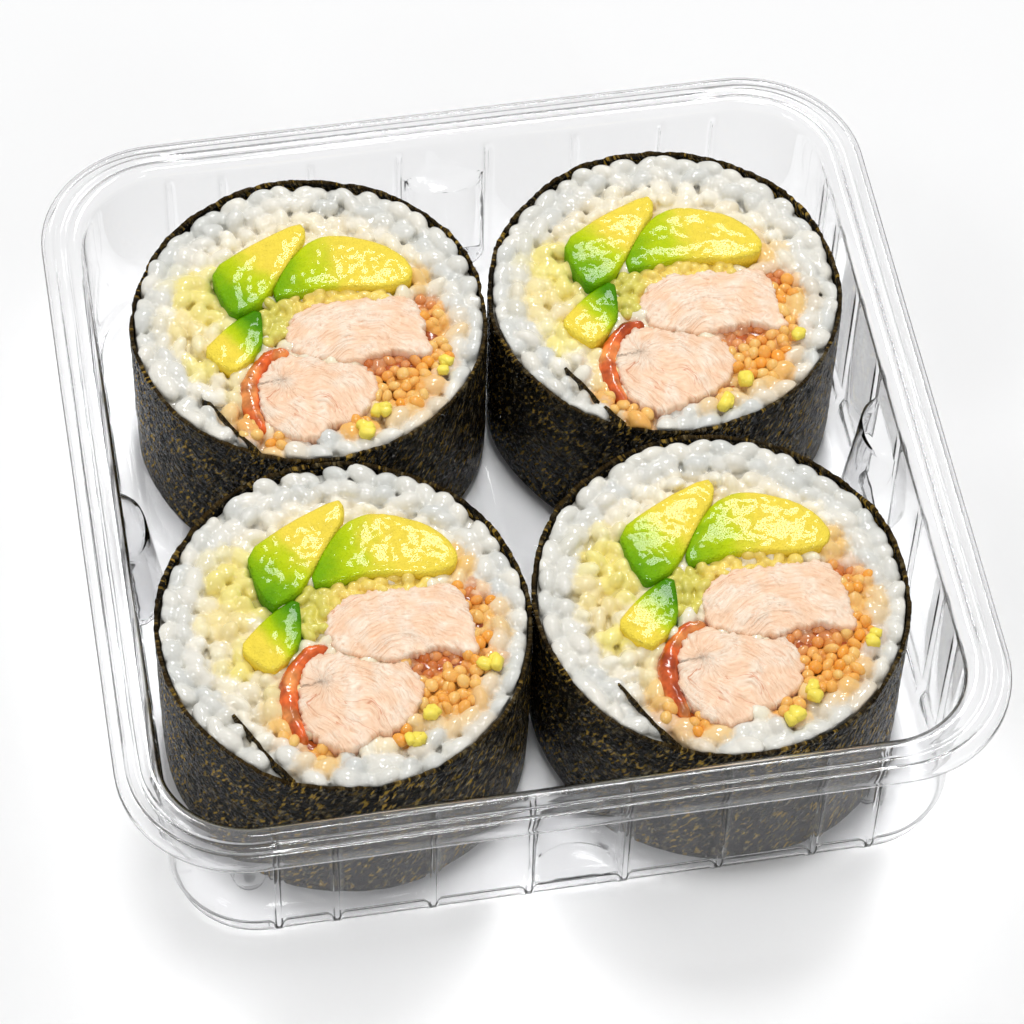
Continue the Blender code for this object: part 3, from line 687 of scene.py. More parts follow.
def keep_outer_skin(mesh):
    """Drops the closed pockets that fusing leaves inside."""
    whole = bmesh.new()
    whole.from_mesh(mesh)
    waiting = set(whole.verts)
    largest = set()
    while waiting:
        body = set()
        edge = [waiting.pop()]
        while edge:
            vertex = edge.pop()
            body.add(vertex)
            near = {link.other_vert(vertex) for link in vertex.link_edges} & waiting
            waiting -= near
            edge.extend(near)
        largest = max(largest, body, key=len)
    pockets = [vertex for vertex in whole.verts if vertex not in largest]
    bmesh.ops.delete(whole, geom=pockets, context="VERTS")
    whole.to_mesh(mesh)
    whole.free()


class Lumps:
    """Many small rounded bodies gathered into one mesh."""

    def __init__(self):
        self.points = []
        self.faces = []
        self.tints = []
        self.count = 0

    def add(self, shape, centre, sizes, turn, tint, bend=0.0):
        points, faces = shape
        shaped = points * (np.array(sizes) / 2)
        shaped[:, 2] += bend * (points[:, 0] ** 2 - 0.5)
        shaped = shaped @ np.array(turn.to_quaternion().to_matrix()).T + np.array(centre)
        self.points.append(shaped)
        self.faces.append(faces + self.count)
        self.tints.append(np.tile(tint, (len(shaped), 1)))
        self.count += len(shaped)

    def add_plate(self, outline, low, high, tint):
        """A flat plate on an outline, which the lumps are stuck to."""
        count = len(outline)
        points = np.vstack([
            np.column_stack([outline, np.full(count, low)]), np.column_stack([outline, np.full(count, high)]),
            [(*outline.mean(axis=0), low), (*outline.mean(axis=0), high)],
        ])
        faces = []
        for i in range(count):
            j = (i + 1) % count
            faces += [(i, j, count + j), (i, count + j, count + i)]
            faces += [(j, i, 2 * count), (count + i, count + j, 2 * count + 1)]
        self.points.append(points)
        self.faces.append(np.array(faces) + self.count)
        self.tints.append(np.tile(tint, (len(points), 1)))
        self.count += len(points)

    def piece(self, name, material):
        points = np.concatenate(self.points)
        faces = np.concatenate(self.faces)
        return mesh_piece(name, points, faces, material, np.concatenate(self.tints))

    def fused_piece(self, name, material, voxel, kept_share):
        """The lumps stuck together under one skin, coloured after the lumps nearest to it."""
        rough = self.piece(name, material)
        fuse = rough.modifiers.new("fuse", "REMESH")
        fuse.mode = "VOXEL"
        fuse.voxel_size = voxel * MM
        thin = rough.modifiers.new("thin", "DECIMATE")
        thin.ratio = kept_share
        skin = bpy.data.meshes.new_from_object(rough.evaluated_get(bpy.context.evaluated_depsgraph_get()))
        bpy.data.objects.remove(rough)
        keep_outer_skin(skin)
        sources = np.concatenate(self.points) * MM
        tints = np.concatenate(self.tints)
        tree = KDTree(len(sources))
        for i, point in enumerate(sources):
            tree.insert(point, i)
        tree.balance()
        near = [[index for _, index, _ in tree.find_n(vert.co, BLEND_SOURCES)] for vert in skin.vertices]
        paint(skin, tints[np.array(near)].mean(axis=1))
        skin.polygons.foreach_set("use_smooth", np.ones(len(skin.polygons), bool))
        skin.materials.clear()
        skin.materials.append(material)
        return linked(name, skin)


class Slice:
    def __init__(self, name, number, centre, half, shift):
        self.name = name
        self.number = number
        self.centre = np.array(centre)
        self.half = np.array(half)
        self.scale = self.half / np.array(LAYOUT_HALF)
        self.shift = np.array(shift)
        self.rng = np.random.default_rng(number + 11)
        pick = random.Random(name)
        self.phases = [pick.uniform(0, 2 * math.pi) for _ in range(3)]
        self.outlines = {key: self.placed(line) for key, line in FILLINGS.items()}
        self.tail = self.placed(TAIL_LINE, (0, 0))

    def placed(self, points, shift=None):
        """Layout points as points of the tray."""
        moved = self.shift if shift is None else np.array(shift)
        return np.asarray(points, float) * self.scale + self.centre + moved

    def local(self, points):
        """Points of the tray as layout points."""
        return (np.asarray(points)[:, :2] - self.centre - self.shift) / self.scale

    def edge(self, turn, inset):
        waves = np.sin(2 * turn + self.phases[0]) + np.sin(5 * turn + self.phases[1])
        shrink = inset + 0.11 * (waves + np.sin(9 * turn + self.phases[2]))
        x = (self.half[0] - shrink) * np.cos(turn)
        y = (self.half[1] - shrink) * np.sin(turn)
        return np.stack([x, y], -1) + self.centre

    def edge_depth(self, points):
        off = (points - self.centre) / self.half
        return (1 - np.linalg.norm(off, axis=1)) * self.half.mean()

    def build_nori(self, material):
        turns = np.linspace(0, 2 * math.pi, NORI_COLUMNS, endpoint=False)
        outer = self.edge(turns, 0.0)
        inner = self.edge(turns, NORI_THICKNESS)
        rim = flat(outer)
        scallop = 0.55 * cells_at(rim, 2.1, self.number + 6) + 0.22 * noise_at(rim, 0.9, self.number + 4)
        tops = NORI_TOP_Z + scallop - 0.65 + 0.3 * noise_at(rim, 9.0, self.number)
        outward = (outer - self.centre) / np.linalg.norm(outer - self.centre, axis=1, keepdims=True)
        rows = []
        bulge_height, bulge_width = NORI_BULGE
        crinkle_height, crinkle_width = NORI_CRINKLE
        for share in np.arange(NORI_ROWS + 1) / NORI_ROWS:
            row = np.column_stack([outer, ROLL_BASE_Z + (tops - ROLL_BASE_Z) * share])
            drawn_out = row * (1, 1, 0.6)
            bulge = bulge_height * (cells_at(drawn_out, bulge_width, self.number) - NORI_MEAN_CELL)
            crinkle = cells_at(drawn_out, crinkle_width, self.number + 2) - NORI_MEAN_CELL
            crinkle = crinkle_height * crinkle
            fine = NORI_FINE[0] * noise_at(row, NORI_FINE[1], self.number + 3)
            ends = min(1.0, 6 * share + 0.3)
            row[:, :2] += outward * ((bulge + crinkle + fine) * ends - 0.02)[:, None]
            rows.append(row)
        lip = rows[-1].copy()
        lip[:, :2] = (lip[:, :2] + inner) / 2
        lip[:, 2] += 0.05
        rows.append(lip)
        for share in (1.0, 0.9, 0.6, 0.0):
            rows.append(np.column_stack([inner, ROLL_BASE_Z + (tops - 0.05 - ROLL_BASE_Z) * share]))
        grid = np.stack(rows)
        count = NORI_COLUMNS
        index = np.arange(grid.shape[0] * count).reshape(-1, count)
        nexts = np.roll(index, -1, axis=1)
        below = np.roll(index, -1, axis=0)
        below_next = np.roll(nexts, -1, axis=0)
        faces = np.stack([index, nexts, below_next, below], -1).reshape(-1, 4)
        piece = mesh_piece(f"nori_sheet_{self.name}", grid.reshape(-1, 3), faces, material)
        self.wrap_round(piece)
        place(piece, "nori", f"nori_{self.name}")
        self.build_tail(material)

    def wrap_round(self, piece):
        """A wrap map that runs round the slice and up it, in centimetres."""
        points, corners = points_of(piece.data)
        points = points[corners]
        turn = np.arctan2(points[:, 1] - self.centre[1], points[:, 0] - self.centre[0]).reshape(-1, 4)
        turn[(turn.max(axis=1) - turn.min(axis=1) > 3)[:, None] & (turn < 0)] += 2 * math.pi
        give_wrap(piece.data, np.stack([turn.ravel() * self.half.mean() / 10, points[:, 2] / 10], -1))

    def build_tail(self, material):
        """The turned-in end of the sheet."""
        line = self.tail
        steps = np.linspace(0, len(line) - 1, 28)
        path = np.stack([np.interp(steps, range(len(line)), line[:, k]) for k in (0, 1)], 1)
        run = np.gradient(path, axis=0)
        run /= np.linalg.norm(run, axis=1, keepdims=True)
        across = np.stack([-run[:, 1], run[:, 0]], 1)
        wobble = 0.12 * noise_at(flat(path), 1.5, self.number)
        left = path + across * (TAIL_HALF + wobble)[:, None]
        right = path - across * (TAIL_HALF - wobble)[:, None]
        loop = np.vstack([left, right[::-1]])
        tops = TAIL_TOP + 0.2 * noise_at(flat(loop), 1.2, self.number)
        lower = np.column_stack([loop, np.full(len(loop), ROLL_BASE_Z)])
        upper = np.column_stack([loop, tops])
        count = len(loop)
        points = np.vstack([lower, upper])
        faces = []
        for i in range(count):
            j = (i + 1) % count
            faces.append((i, j, count + j, count + i))
        for i in range(len(path) - 1):
            j = count - 1 - i
            faces.append((count + i, count + i + 1, count + j - 1, count + j))
            faces.append((i + 1, i, j, j - 1))
        piece = mesh_piece(f"nori_end_{self.name}", points, np.array(faces), material)
        self.wrap_round(piece)
        place(piece, "nori")

    def zone_tint(self, spots, base):
        tints = np.array(base, float)
        local = self.local(spots)
        for centre, radius, colour in ZONES:
            near = 1 - smooth(0.5 * radius, 1.3 * radius, np.linalg.norm(local - centre, axis=1))
            tints = mixed(tints, linear(colour), near * 0.9)
        return tints

    def grain_spots(self, tries, gap, closer, taken, clear, edge_clear, seed):
        """Spots spread over the rice by dart throwing, clear of the fillings and the sheet's end.

        They keep a gap, which is less where the sauce is.
        """
        rng = np.random.default_rng(seed)
        turn = rng.uniform(0, 2 * math.pi, tries)
        far = np.sqrt(rng.uniform(0, 1, tries))
        spots = self.centre + far[:, None] * np.stack([np.cos(turn), np.sin(turn)], 1) * self.half
        keep = self.edge_depth(spots) > edge_clear
        keep &= outline_distance(spots, self.tail, False) > clear + 0.45
        for outline in self.outlines.values():
            keep &= outline_distance(spots, outline) > clear
        spots = spots[keep]
        return spread_out(spots, gap - closer * self.sauced(self.local(spots)), taken)

    def sauced(self, local):
        """How far a spot lies in the small sauced grains, from 0 to 1."""
        share = np.zeros(len(local))
        for centre, radius, colour in ZONES:
            if colour in SMALL_GRAIN_COLOURS:
                near = 1 - smooth(0.8 * radius, 1.15 * radius, np.linalg.norm(local - centre, axis=1))
                share = np.maximum(share, near)
        return share

    def hollow(self, local):
        """How far grains lie deeper in the sauced hollow between the two pieces of meat."""
        sunk = np.zeros(len(local))
        for centre, radius in HOLLOWS:
            near = 1 - smooth(0.6 * radius, 1.3 * radius, np.linalg.norm(local - centre, axis=1))
            sunk = np.maximum(sunk, HOLLOW_DEPTH * near)
        return sunk

    def kept_inside(self, points):
        """The points moved in where they would come through the sheet of nori."""
        off = (points[:, :2] - self.centre) / self.half
        far = np.linalg.norm(off, axis=1)
        over = smooth(NORI_TOP_Z - 0.5, NORI_TOP_Z + 0.4, points[:, 2])
        limit = 1 - (RICE_INSET - 0.5 * over) / self.half.mean()
        moved = points.copy()
        moved[:, :2] = self.centre + off * (np.minimum(1, limit / np.maximum(far, 1e-6)))[:, None] * self.half
        return moved

    def build_rice(self, rice, core_material):
        rng = self.rng
        lumps = Lumps()
        # The edge grains' grey is painted shade
        ring_shaded_white = linear(RING_SHADED_COLOUR)
        inner_white = linear(INNER_COLOUR)
        cream = linear(CREAM)
        # Round the edge
        ring_spots = []
        for inset, gap, size in RINGS:
            around = math.pi * (self.half.sum() - 2 * inset)
            count = round(around / gap)
            for i in range(count):
                turn = 2 * math.pi * (i + rng.uniform(-0.3, 0.3)) / count
                spot = self.edge(np.array(turn), inset + rng.uniform(-0.25, 0.5))
                blocked = outline_distance([spot], self.tail, False)[0] < 1.15
                for outline in self.outlines.values():
                    blocked |= outline_distance([spot], outline)[0] < 0.7
                if blocked:
                    continue
                ring_spots.append(spot)
                heading = turn + math.pi / 2 + rng.uniform(-0.8, 0.8)
                rot = Matrix.Rotation(heading, 3, "Z") @ Matrix.Rotation(rng.uniform(-0.35, 0.35), 3, "Y")
                sizes = np.array(RING_GRAIN) * size * rng.uniform(0.82, 1.15, 3)
                z = RICE_TOP_Z - sizes[2] / 2 + rng.uniform(-0.5, 0.3)
                white = mixed(ring_shaded_white, inner_white, rng.uniform(0, 0.6))
                tint = self.zone_tint(np.array([spot]), white)[0]
                lumps.add(FINE_BALL, (*spot, z), sizes, rot, tint, rng.uniform(-0.3, 0.3))
        # Over the rest
        spots = self.grain_spots(14000, 2.5, 0.8, ring_spots, 0.35, 5.0, self.number + 31)
        small = self.sauced(self.local(spots))
        deep = self.edge_depth(spots)
        creamy = np.clip(smooth(5, 11, deep) + rng.uniform(-0.3, 0.3, len(spots)), 0, 1)
        bases = mixed(inner_white, cream, creamy)
        tints = self.zone_tint(spots, bases) * rng.uniform(0.94, 1.03, (len(spots), 1))
        for spot, share, tint, sunk in zip(spots, small, tints, self.hollow(self.local(spots))):
            turn = any_turn(rng, 0.9)
            sizes = mixed(INNER_GRAIN, SAUCED_GRAIN, share) * rng.uniform(0.78, 1.15, 3)
            z = RICE_TOP_Z - sizes[2] / 2 + rng.uniform(-0.7, 0.1) - 0.2 * share - sunk
            lumps.add(FINE_BALL, (*spot, z), sizes, turn, tint, rng.uniform(-0.2, 0.2))
        # Under those, to close the gaps between them; they are a little darker than the grains on top,
        # painted shade in the gaps
        under = self.grain_spots(9000, 2.2, 0.5, [], 0.0, 1.9, self.number + 57)
        bases = mixed(ring_shaded_white, cream, smooth(3, 8, self.edge_depth(under)))
        tints = self.zone_tint(under, bases) * rng.uniform(0.86, 0.98, (len(under), 1))
        for spot, tint, sunk in zip(under, tints, self.sauced(self.local(under))):
            turn = any_turn(rng, 0.8)
            sizes = np.array(UNDER_GRAIN) * rng.uniform(0.8, 1.1, 3)
            z = RICE_CORE_Z + rng.uniform(0.5, 1.2) - 0.6 * sunk
            lumps.add(PLAIN_BALL, (*spot, z), sizes, turn, tint)
        lumps.points = [self.kept_inside(points) for points in lumps.points]
        outline = self.edge(np.linspace(0, 2 * math.pi, 120, endpoint=False), RICE_INSET)
        shaded = np.array(cream) * 0.8
        lumps.add_plate(outline, *RICE_PLATE_Z, shaded)
        piece = lumps.fused_piece(f"rice_grains_{self.name}", rice, RICE_VOXEL, RICE_KEPT)
        place(piece, "rice", f"rice_{self.name}")
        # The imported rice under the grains
        core = slab(
            f"rice_core_{self.name}", outline, ROLL_BASE_Z,
            lambda where, depth: np.full(len(where), RICE_PLATE_Z[0]),
            lambda points: self.zone_tint(points, shaded), core_material, 1.6, 0.3,
        )
        place(core, "rice")

    def build_small_grains(self, material):
        """Separate small grains, stained by the sauce, beside the meat."""
        rng = np.random.default_rng(self.number + 43)
        spots = self.grain_spots(9000, SMALL_GRAIN_GAP, 0.0, [], 0.1, 2.6, self.number + 23)
        local = self.local(spots)
        sauced = self.sauced(local)
        sunk = self.hollow(local)
        lumps = Lumps()
        for spot, share, low in zip(spots, sauced, sunk):
            if share < 0.45:
                continue
            turn = any_turn(rng, 0.9)
            sizes = np.array(SMALL_GRAIN) * rng.uniform(0.8, 1.2, 3)
            gold = mixed(linear(GOLD_DEEP), linear(GOLD_LIGHT), rng.uniform(0, 1))
            amber = mixed(linear(AMBER_DEEP), linear(AMBER_LIGHT), rng.uniform(0, 1))
            tint = mixed(gold, amber, min(1, low / HOLLOW_DEPTH))
            z = RICE_TOP_Z - sizes[2] / 2 + rng.uniform(-0.5, 0.25) - low
            lumps.add(FINE_BALL, (*spot, z), sizes, turn, tint)
        lumps.points = [self.kept_inside(points) for points in lumps.points]
        place(lumps.piece(f"small_grains_{self.name}", material), "rice")

    def build_avocado(self, kind, material):
        outline = grown_line(rounded_outline(self.outlines[kind], 1), 0.28)
        top, start, end = AVOCADO_LOOKS[kind]
        skin_green = linear((76, 142, 0))
        green = linear((124, 178, 0))
        lime = linear((196, 216, 10))
        yellow = linear((252, 226, 78))
        gold = linear((244, 192, 20))
        start = np.array(start)
        run = np.array(end) - start

        def height(where, depth):
            spots = flat(where)
            wave = 0.14 * noise_at(spots, 4.5, self.number + 1) + 0.06 * noise_at(spots, 1.3, self.number)
            pits = 0.07 * np.minimum(0, noise_at(spots, 0.6, self.number + 6))
            return top + 0.1 * smooth(0, 2, depth) + wave + pits

        def tint(points):
            local = self.local(points)
            share = (local - start) @ run / (run @ run)
            share = share + 0.09 * noise_at(points, 2.6, self.number + 5)
            share = share + 0.04 * noise_at(points, 0.7, self.number)
            colours = mixed(skin_green, green, smooth(-0.15, 0.12, share))
            colours = mixed(colours, lime, smooth(0.1, 0.5, share))
            colours = mixed(colours, yellow, smooth(0.42, 0.8, share))
            # Sides below the top take deeper colours, green to gold along the piece: painted shade on the
            # sides
            deep = mixed(skin_green, gold, smooth(0.25, 0.6, share))
            return mixed(colours, deep, smooth(0.3, 1.0, top - points[:, 2]))

        piece = slab(f"{kind}_flesh_{self.name}", outline, FILLING_BASE_Z, height, tint, material, 0.34, 0.2)
        place(piece, "avocado", f"{kind}_{self.name}")

    def build_chicken(self, kind, material):
        rough = grown_line(spaced_outline(rounded_outline(self.outlines[kind], 1), 0.3), 0.3)
        spots = flat(rough)
        outward = rough - rough.mean(axis=0)
        outward /= np.linalg.norm(outward, axis=1, keepdims=True)
        torn = 0.45 * noise_at(spots, 1.6, self.number + 3) + 0.5 * noise_at(spots, 0.55, self.number + 8)
        outline = rough + outward * torn[:, None]
        flesh = linear((255, 217, 184))
        pale = linear((255, 233, 210))
        pink = linear((238, 172, 130))
        edge_colour = linear((206, 112, 56))

        def fibres(points):
            """Noise drawn out along lines that fan from the focus."""
            local = self.local(points)
            off = local - np.array(FIBRE_FOCUS[kind])
            far = np.linalg.norm(off, axis=1)
            turn = np.arctan2(off[:, 1], off[:, 0]) + 0.05 * far
            level = flat(local)
            wander = 1.3 * noise_at(level, 4.0, 3) + 0.35 * noise_at(level, 1.2, 5)
            round_about = turn * np.clip(far, 4, 30)
            across, along = (far, round_about) if kind == "chicken_a" else (round_about, far)
            lines = np.column_stack([across + wander, along * 0.2, np.full(len(far), self.number * 3.1)])
            return lines, noise_at(lines, 0.7, 1), noise_at(lines, 0.34, 2), noise_at(level, 2.4, self.number)

        def height(where, depth):
            _, coarse, fine, broad = fibres(flat(where))
            ridges = 0.22 * coarse + 0.13 * fine + 0.3 * broad
            return CHICKEN_TOP + 0.35 * smooth(0, 3, depth) + ridges - 0.25 * cracks(coarse, broad)

        def cracks(coarse, broad):
            """Thin openings between the fibres, from 0 to 1."""
            return (1 - smooth(0.0, 0.1, np.abs(coarse))) * smooth(0.0, 0.25, broad)

        def tint(points):
            _, coarse, fine, broad = fibres(points)
            # Pink mixed in along the fine fibres is the meat's own tone; the part from the cracks is painted
            # shade in the openings
            dark = smooth(0.2, 0.55, np.abs(fine)) * 0.2 + cracks(coarse, broad) * 0.3
            colours = mixed(mixed(flesh, pale, smooth(-0.35, 0.4, broad)), pink, np.clip(dark, 0, 0.9))
            return mixed(colours, edge_colour, 0.9 * smooth(0.5, 1.5, CHICKEN_TOP + 0.2 - points[:, 2]))

        piece = slab(f"{kind}_meat_{self.name}", outline, FILLING_BASE_Z, height, tint, material, 0.26, 0.3)
        points, corners = points_of(piece.data)
        give_wrap(piece.data, fibres(points)[0][corners, :2] / 10)
        place(piece, "chicken", f"{kind}_{self.name}")

    def build_red_strip(self, material):
        outline = grown_line(spaced_outline(rounded_outline(self.outlines["red_strip"], 2), 0.35), 0.35)
        red = linear((232, 104, 40))
        amber = linear((246, 156, 84))
        dark = linear((166, 62, 14))

        def height(where, depth):
            spots = flat(where)
            lumps = 0.25 * noise_at(spots, 2.4, self.number) + 0.2 * noise_at(spots, 0.7, 2)
            return RED_TOP + 0.5 * smooth(0, 1.2, depth) + lumps

        def tint(points):
            share = noise_at(points, 3.6, self.number + 2)
            return mixed(mixed(red, amber, smooth(0.05, 0.5, share)), dark, smooth(0.1, 0.5, -share))

        piece = slab(f"red_flesh_{self.name}", outline, FILLING_BASE_Z, height, tint, material, 0.35, 0.6)
        place(piece, "red_strip", f"red_strip_{self.name}")

    def build_mash(self, material):
        """Small lumps stuck together over a block with the same outline."""
        outline = grown_line(spaced_outline(rounded_outline(self.outlines["mash"], 1), 0.4), 0.3)
        green = linear((224, 214, 102))
        yellow = linear((250, 220, 112))

        def colour(points):
            return mixed(green, yellow, smooth(-4.5, -0.5, self.local(points)[:, 0]))

        # The block under the lumps is coloured darker: painted shade under them
        block = slab(
            f"mash_base_{self.name}", outline, FILLING_BASE_Z,
            lambda where, depth: np.full(len(where), MASH_BASE_TOP),
            lambda points: colour(points) * 0.8, material, 0.8, 0.3,
        )
        place(block, "mash")
        lumps = Lumps()
        rng = np.random.default_rng(self.number + 71)
        low, high = outline.min(axis=0) - 0.4, outline.max(axis=0) + 0.4
        spots = rng.uniform(low, high, (2600, 2))
        spots = spots[outline_distance(spots, outline) < 0.1]
        for spot in spread_out(spots, np.full(len(spots), MASH_GAP)):
            turn = any_turn(rng, 1, "X")
            sizes = np.array(MASH_LUMP) * rng.uniform(0.75, 1.2, 3)
            tint = colour(np.array([[*spot, 0]]))[0] * rng.uniform(0.92, 1.06)
            lumps.add(PLAIN_BALL, (*spot, MASH_TOP + rng.uniform(-0.3, 0.45)), sizes, turn, tint)
        # The plate between the lumps is darker too: painted shade
        middle = np.array([outline.mean(axis=0)])
        lumps.add_plate(outline, MASH_BASE_TOP - 0.3, MASH_TOP - 0.2, colour(middle)[0] * 0.85)
        piece = lumps.fused_piece(f"mash_lumps_{self.name}", material, MASH_VOXEL, MASH_KEPT)
        place(piece, "mash", f"mash_{self.name}")

    def build_crumbs(self, material):
        lumps = Lumps()
        rng = np.random.default_rng(self.number + 91)
        for x, y, size in CRUMBS:
            centre = self.placed([(x, y)])[0]
            for _ in range(3):
                spot = centre + rng.normal(0, 0.2 * size, 2)
                turn = Matrix.Rotation(rng.uniform(0, math.pi), 3, "Z")
                sizes = np.array(CRUMB) * size * rng.uniform(0.7, 0.95)
                tint = np.array(linear((255, 234, 96))) * rng.uniform(0.95, 1.05)
                points, faces = PLAIN_BALL
                blocky = np.sign(points) * np.abs(points) ** 0.55
                chip = blocky * (1 + 0.3 * noise_at(points, 0.6, rng.integers(1, 90)))[:, None]
                where = (*spot, RICE_TOP_Z + rng.uniform(-0.1, 0.3))
                lumps.add((chip, faces), where, sizes, turn, tint)
        place(lumps.piece(f"egg_crumbs_{self.name}", material), "mash")

    def build_sauce(self, material):
        for number, line in enumerate(SAUCE_PLACES):
            outline = spaced_outline(rounded_outline(self.placed(line), 2), 0.5)

            def height(where, depth):
                rough = 0.35 * noise_at(flat(where), 1.6, self.number + number)
                return SAUCE_TOP + 0.3 * smooth(0, 1.5, depth) + rough

            piece = slab(
                f"sauce_{number}_{self.name}", outline, RICE_CORE_Z, height,
                lambda points: linear((186, 90, 28)), material, 0.5, 0.5,
            )
            place(piece, "red_strip")


# Materials


class Nodes:
    """Short ways to add nodes to one tree, each linked to what feeds it."""

    def __init__(self, tree):
        self.tree = tree

    def feed(self, node, **values):
        """Links each input to a socket, or sets it to a number or colour."""
        for name, value in values.items():
            self.join(node.inputs[name.replace("_", " ")], value)
        return node

    def join(self, socket, value):
        if isinstance(value, bpy.types.NodeSocket):
            self.tree.links.new(value, socket)
        else:
            socket.default_value = value

    def add(self, kind, **values):
        return self.feed(self.tree.nodes.new("ShaderNode" + kind), **values)

    def place(self):
        return self.add("TexCoord").outputs["Object"]

    def tint(self):
        made = self.add("VertexColor")
        made.layer_name = "tint"
        return made.outputs["Color"]

    def wrap(self):
        made = self.add("UVMap")
        made.uv_map = "wrap"
        return made.outputs["UV"]

    def noise(self, coordinate, scale, detail, stretch=(1, 1, 1)):
        mapped = self.add("Mapping", Vector=coordinate, Scale=stretch).outputs["Vector"]
        return self.add("TexNoise", Vector=mapped, Scale=scale, Detail=detail).outputs["Fac"]

    def ramp(self, source, *stops):
        made = self.add("ValToRGB", Fac=source)
        elements = made.color_ramp.elements
        for _ in stops[2:]:
            elements.new(1.0)
        for element, (position, colour) in zip(elements, stops):
            element.position = position
            element.color = colour
        return made.outputs["Color"]

    def mask(self, source, low, high, least=0.0, most=1.0):
        """A grey that goes from least to most between two values of the source."""
        return self.ramp(source, (low, (least, least, least, 1)), (high, (most, most, most, 1)))

    def bump(self, source, distance, shader):
        made = self.add("Bump", Height=source, Distance=distance * MM, Strength=1.0)
        self.feed(shader, Normal=made.outputs["Normal"])

    def mix(self, first, second, factor, blend="MIX"):
        made = self.add("Mix")
        made.data_type = "RGBA"
        made.blend_type = blend
        for number, value in ((0, factor), (6, first), (7, second)):
            self.join(made.inputs[number], value)
        return made.outputs[2]


def new_material(name, **values):
    made = bpy.data.materials.new(name)
    made.use_nodes = True
    nodes = Nodes(made.node_tree)
    return made, nodes, nodes.feed(made.node_tree.nodes["Principled BSDF"], **values)


def tinted_material(name, bumps, speck, **values):
    """A moist food whose colour comes from its mesh, with fine variation and relief."""
    made, nodes, shader = new_material(name, **values)
    spot = nodes.place()
    shade = nodes.mask(nodes.noise(spot, speck[0], 2), 0.25, 0.75, *speck[1:])
    nodes.feed(shader, Base_Color=nodes.mix(nodes.tint(), shade, 1.0, "MULTIPLY"))
    nodes.bump(nodes.noise(spot, bumps[0], 1), bumps[1], shader)
    return made


def clear_material():
    made, nodes, shader = new_material(
        "clear_tray", Base_Color=(0.955, 0.955, 0.96, 1), Roughness=0.03, IOR=1.36, Transmission_Weight=1.0,
    )
    lets_light = nodes.add("BsdfTransparent", Color=(0.96, 0.962, 0.965, 1))
    mix = nodes.add("MixShader")
    feeds = (nodes.add("LightPath").outputs["Is Shadow Ray"], shader.outputs[0], lets_light.outputs[0])
    for socket, value in zip(mix.inputs, feeds):
        nodes.join(socket, value)
    nodes.feed(made.node_tree.nodes["Material Output"], Surface=mix.outputs[0])
    return made


def nori_material():
    """Dark flakes with gold flecks, and pale flecks of painted glint, drawn out along a slant, brown and
    ragged along the top.
    """
    made, nodes, shader = new_material("nori", Specular_IOR_Level=0.1)
    wrap = nodes.wrap()
    slant = nodes.add("Mapping", Vector=wrap, Rotation=(0, 0, 0.5)).outputs["Vector"]
    flakes = nodes.noise(slant, 5.0, 4, (2.2, 0.8, 1))
    colour = nodes.ramp(
        flakes, (0.41, rgba((2, 2, 1))), (0.49, rgba((9, 8, 5))), (0.57, rgba((38, 33, 22))),
        (0.67, rgba((104, 92, 64))),
    )
    flecks = nodes.mask(nodes.noise(slant, 7.5, 3, (2.4, 0.75, 1)), 0.56, 0.63)
    patches = nodes.mask(nodes.noise(wrap, 1.6, 1), 0.38, 0.60, 0.15)
    colour = nodes.mix(colour, rgba((186, 150, 62)), nodes.mix(flecks, patches, 1.0, "MULTIPLY"))
    # Pale flecks: painted glints, a lighter colour standing in for light catching the sheet's bumps
    pale = nodes.mask(nodes.noise(slant, 8.0, 3, (2.0, 0.8, 1)), 0.60, 0.72, 0.0, 0.9)
    colour = nodes.mix(colour, rgba((142, 128, 94)), pale)
    height = nodes.add("SeparateXYZ", Vector=nodes.place()).outputs["Z"]
    near_top = nodes.add("MapRange", Value=height, From_Min=28.5 * MM, From_Max=29.3 * MM).outputs["Result"]
    ragged = nodes.mix(near_top, flakes, 0.35, "MULTIPLY")
    fine = nodes.noise(slant, 16.0, 3, (1.8, 0.8, 1))
    rough = nodes.add("MapRange", Value=fine, To_Min=0.12, To_Max=0.36).outputs["Result"]
    nodes.feed(shader, Base_Color=nodes.mix(colour, rgba((78, 58, 20)), ragged), Roughness=rough)
    cells = nodes.add("TexVoronoi", Vector=slant, Scale=12.0)
    cells.voronoi_dimensions = "2D"
    relief = nodes.add("Math")
    relief.operation = "SUBTRACT"
    nodes.join(relief.inputs[0], fine)
    nodes.join(relief.inputs[1], cells.outputs["Distance"])
    nodes.bump(relief.outputs[0], 1.0, shader)
    return made


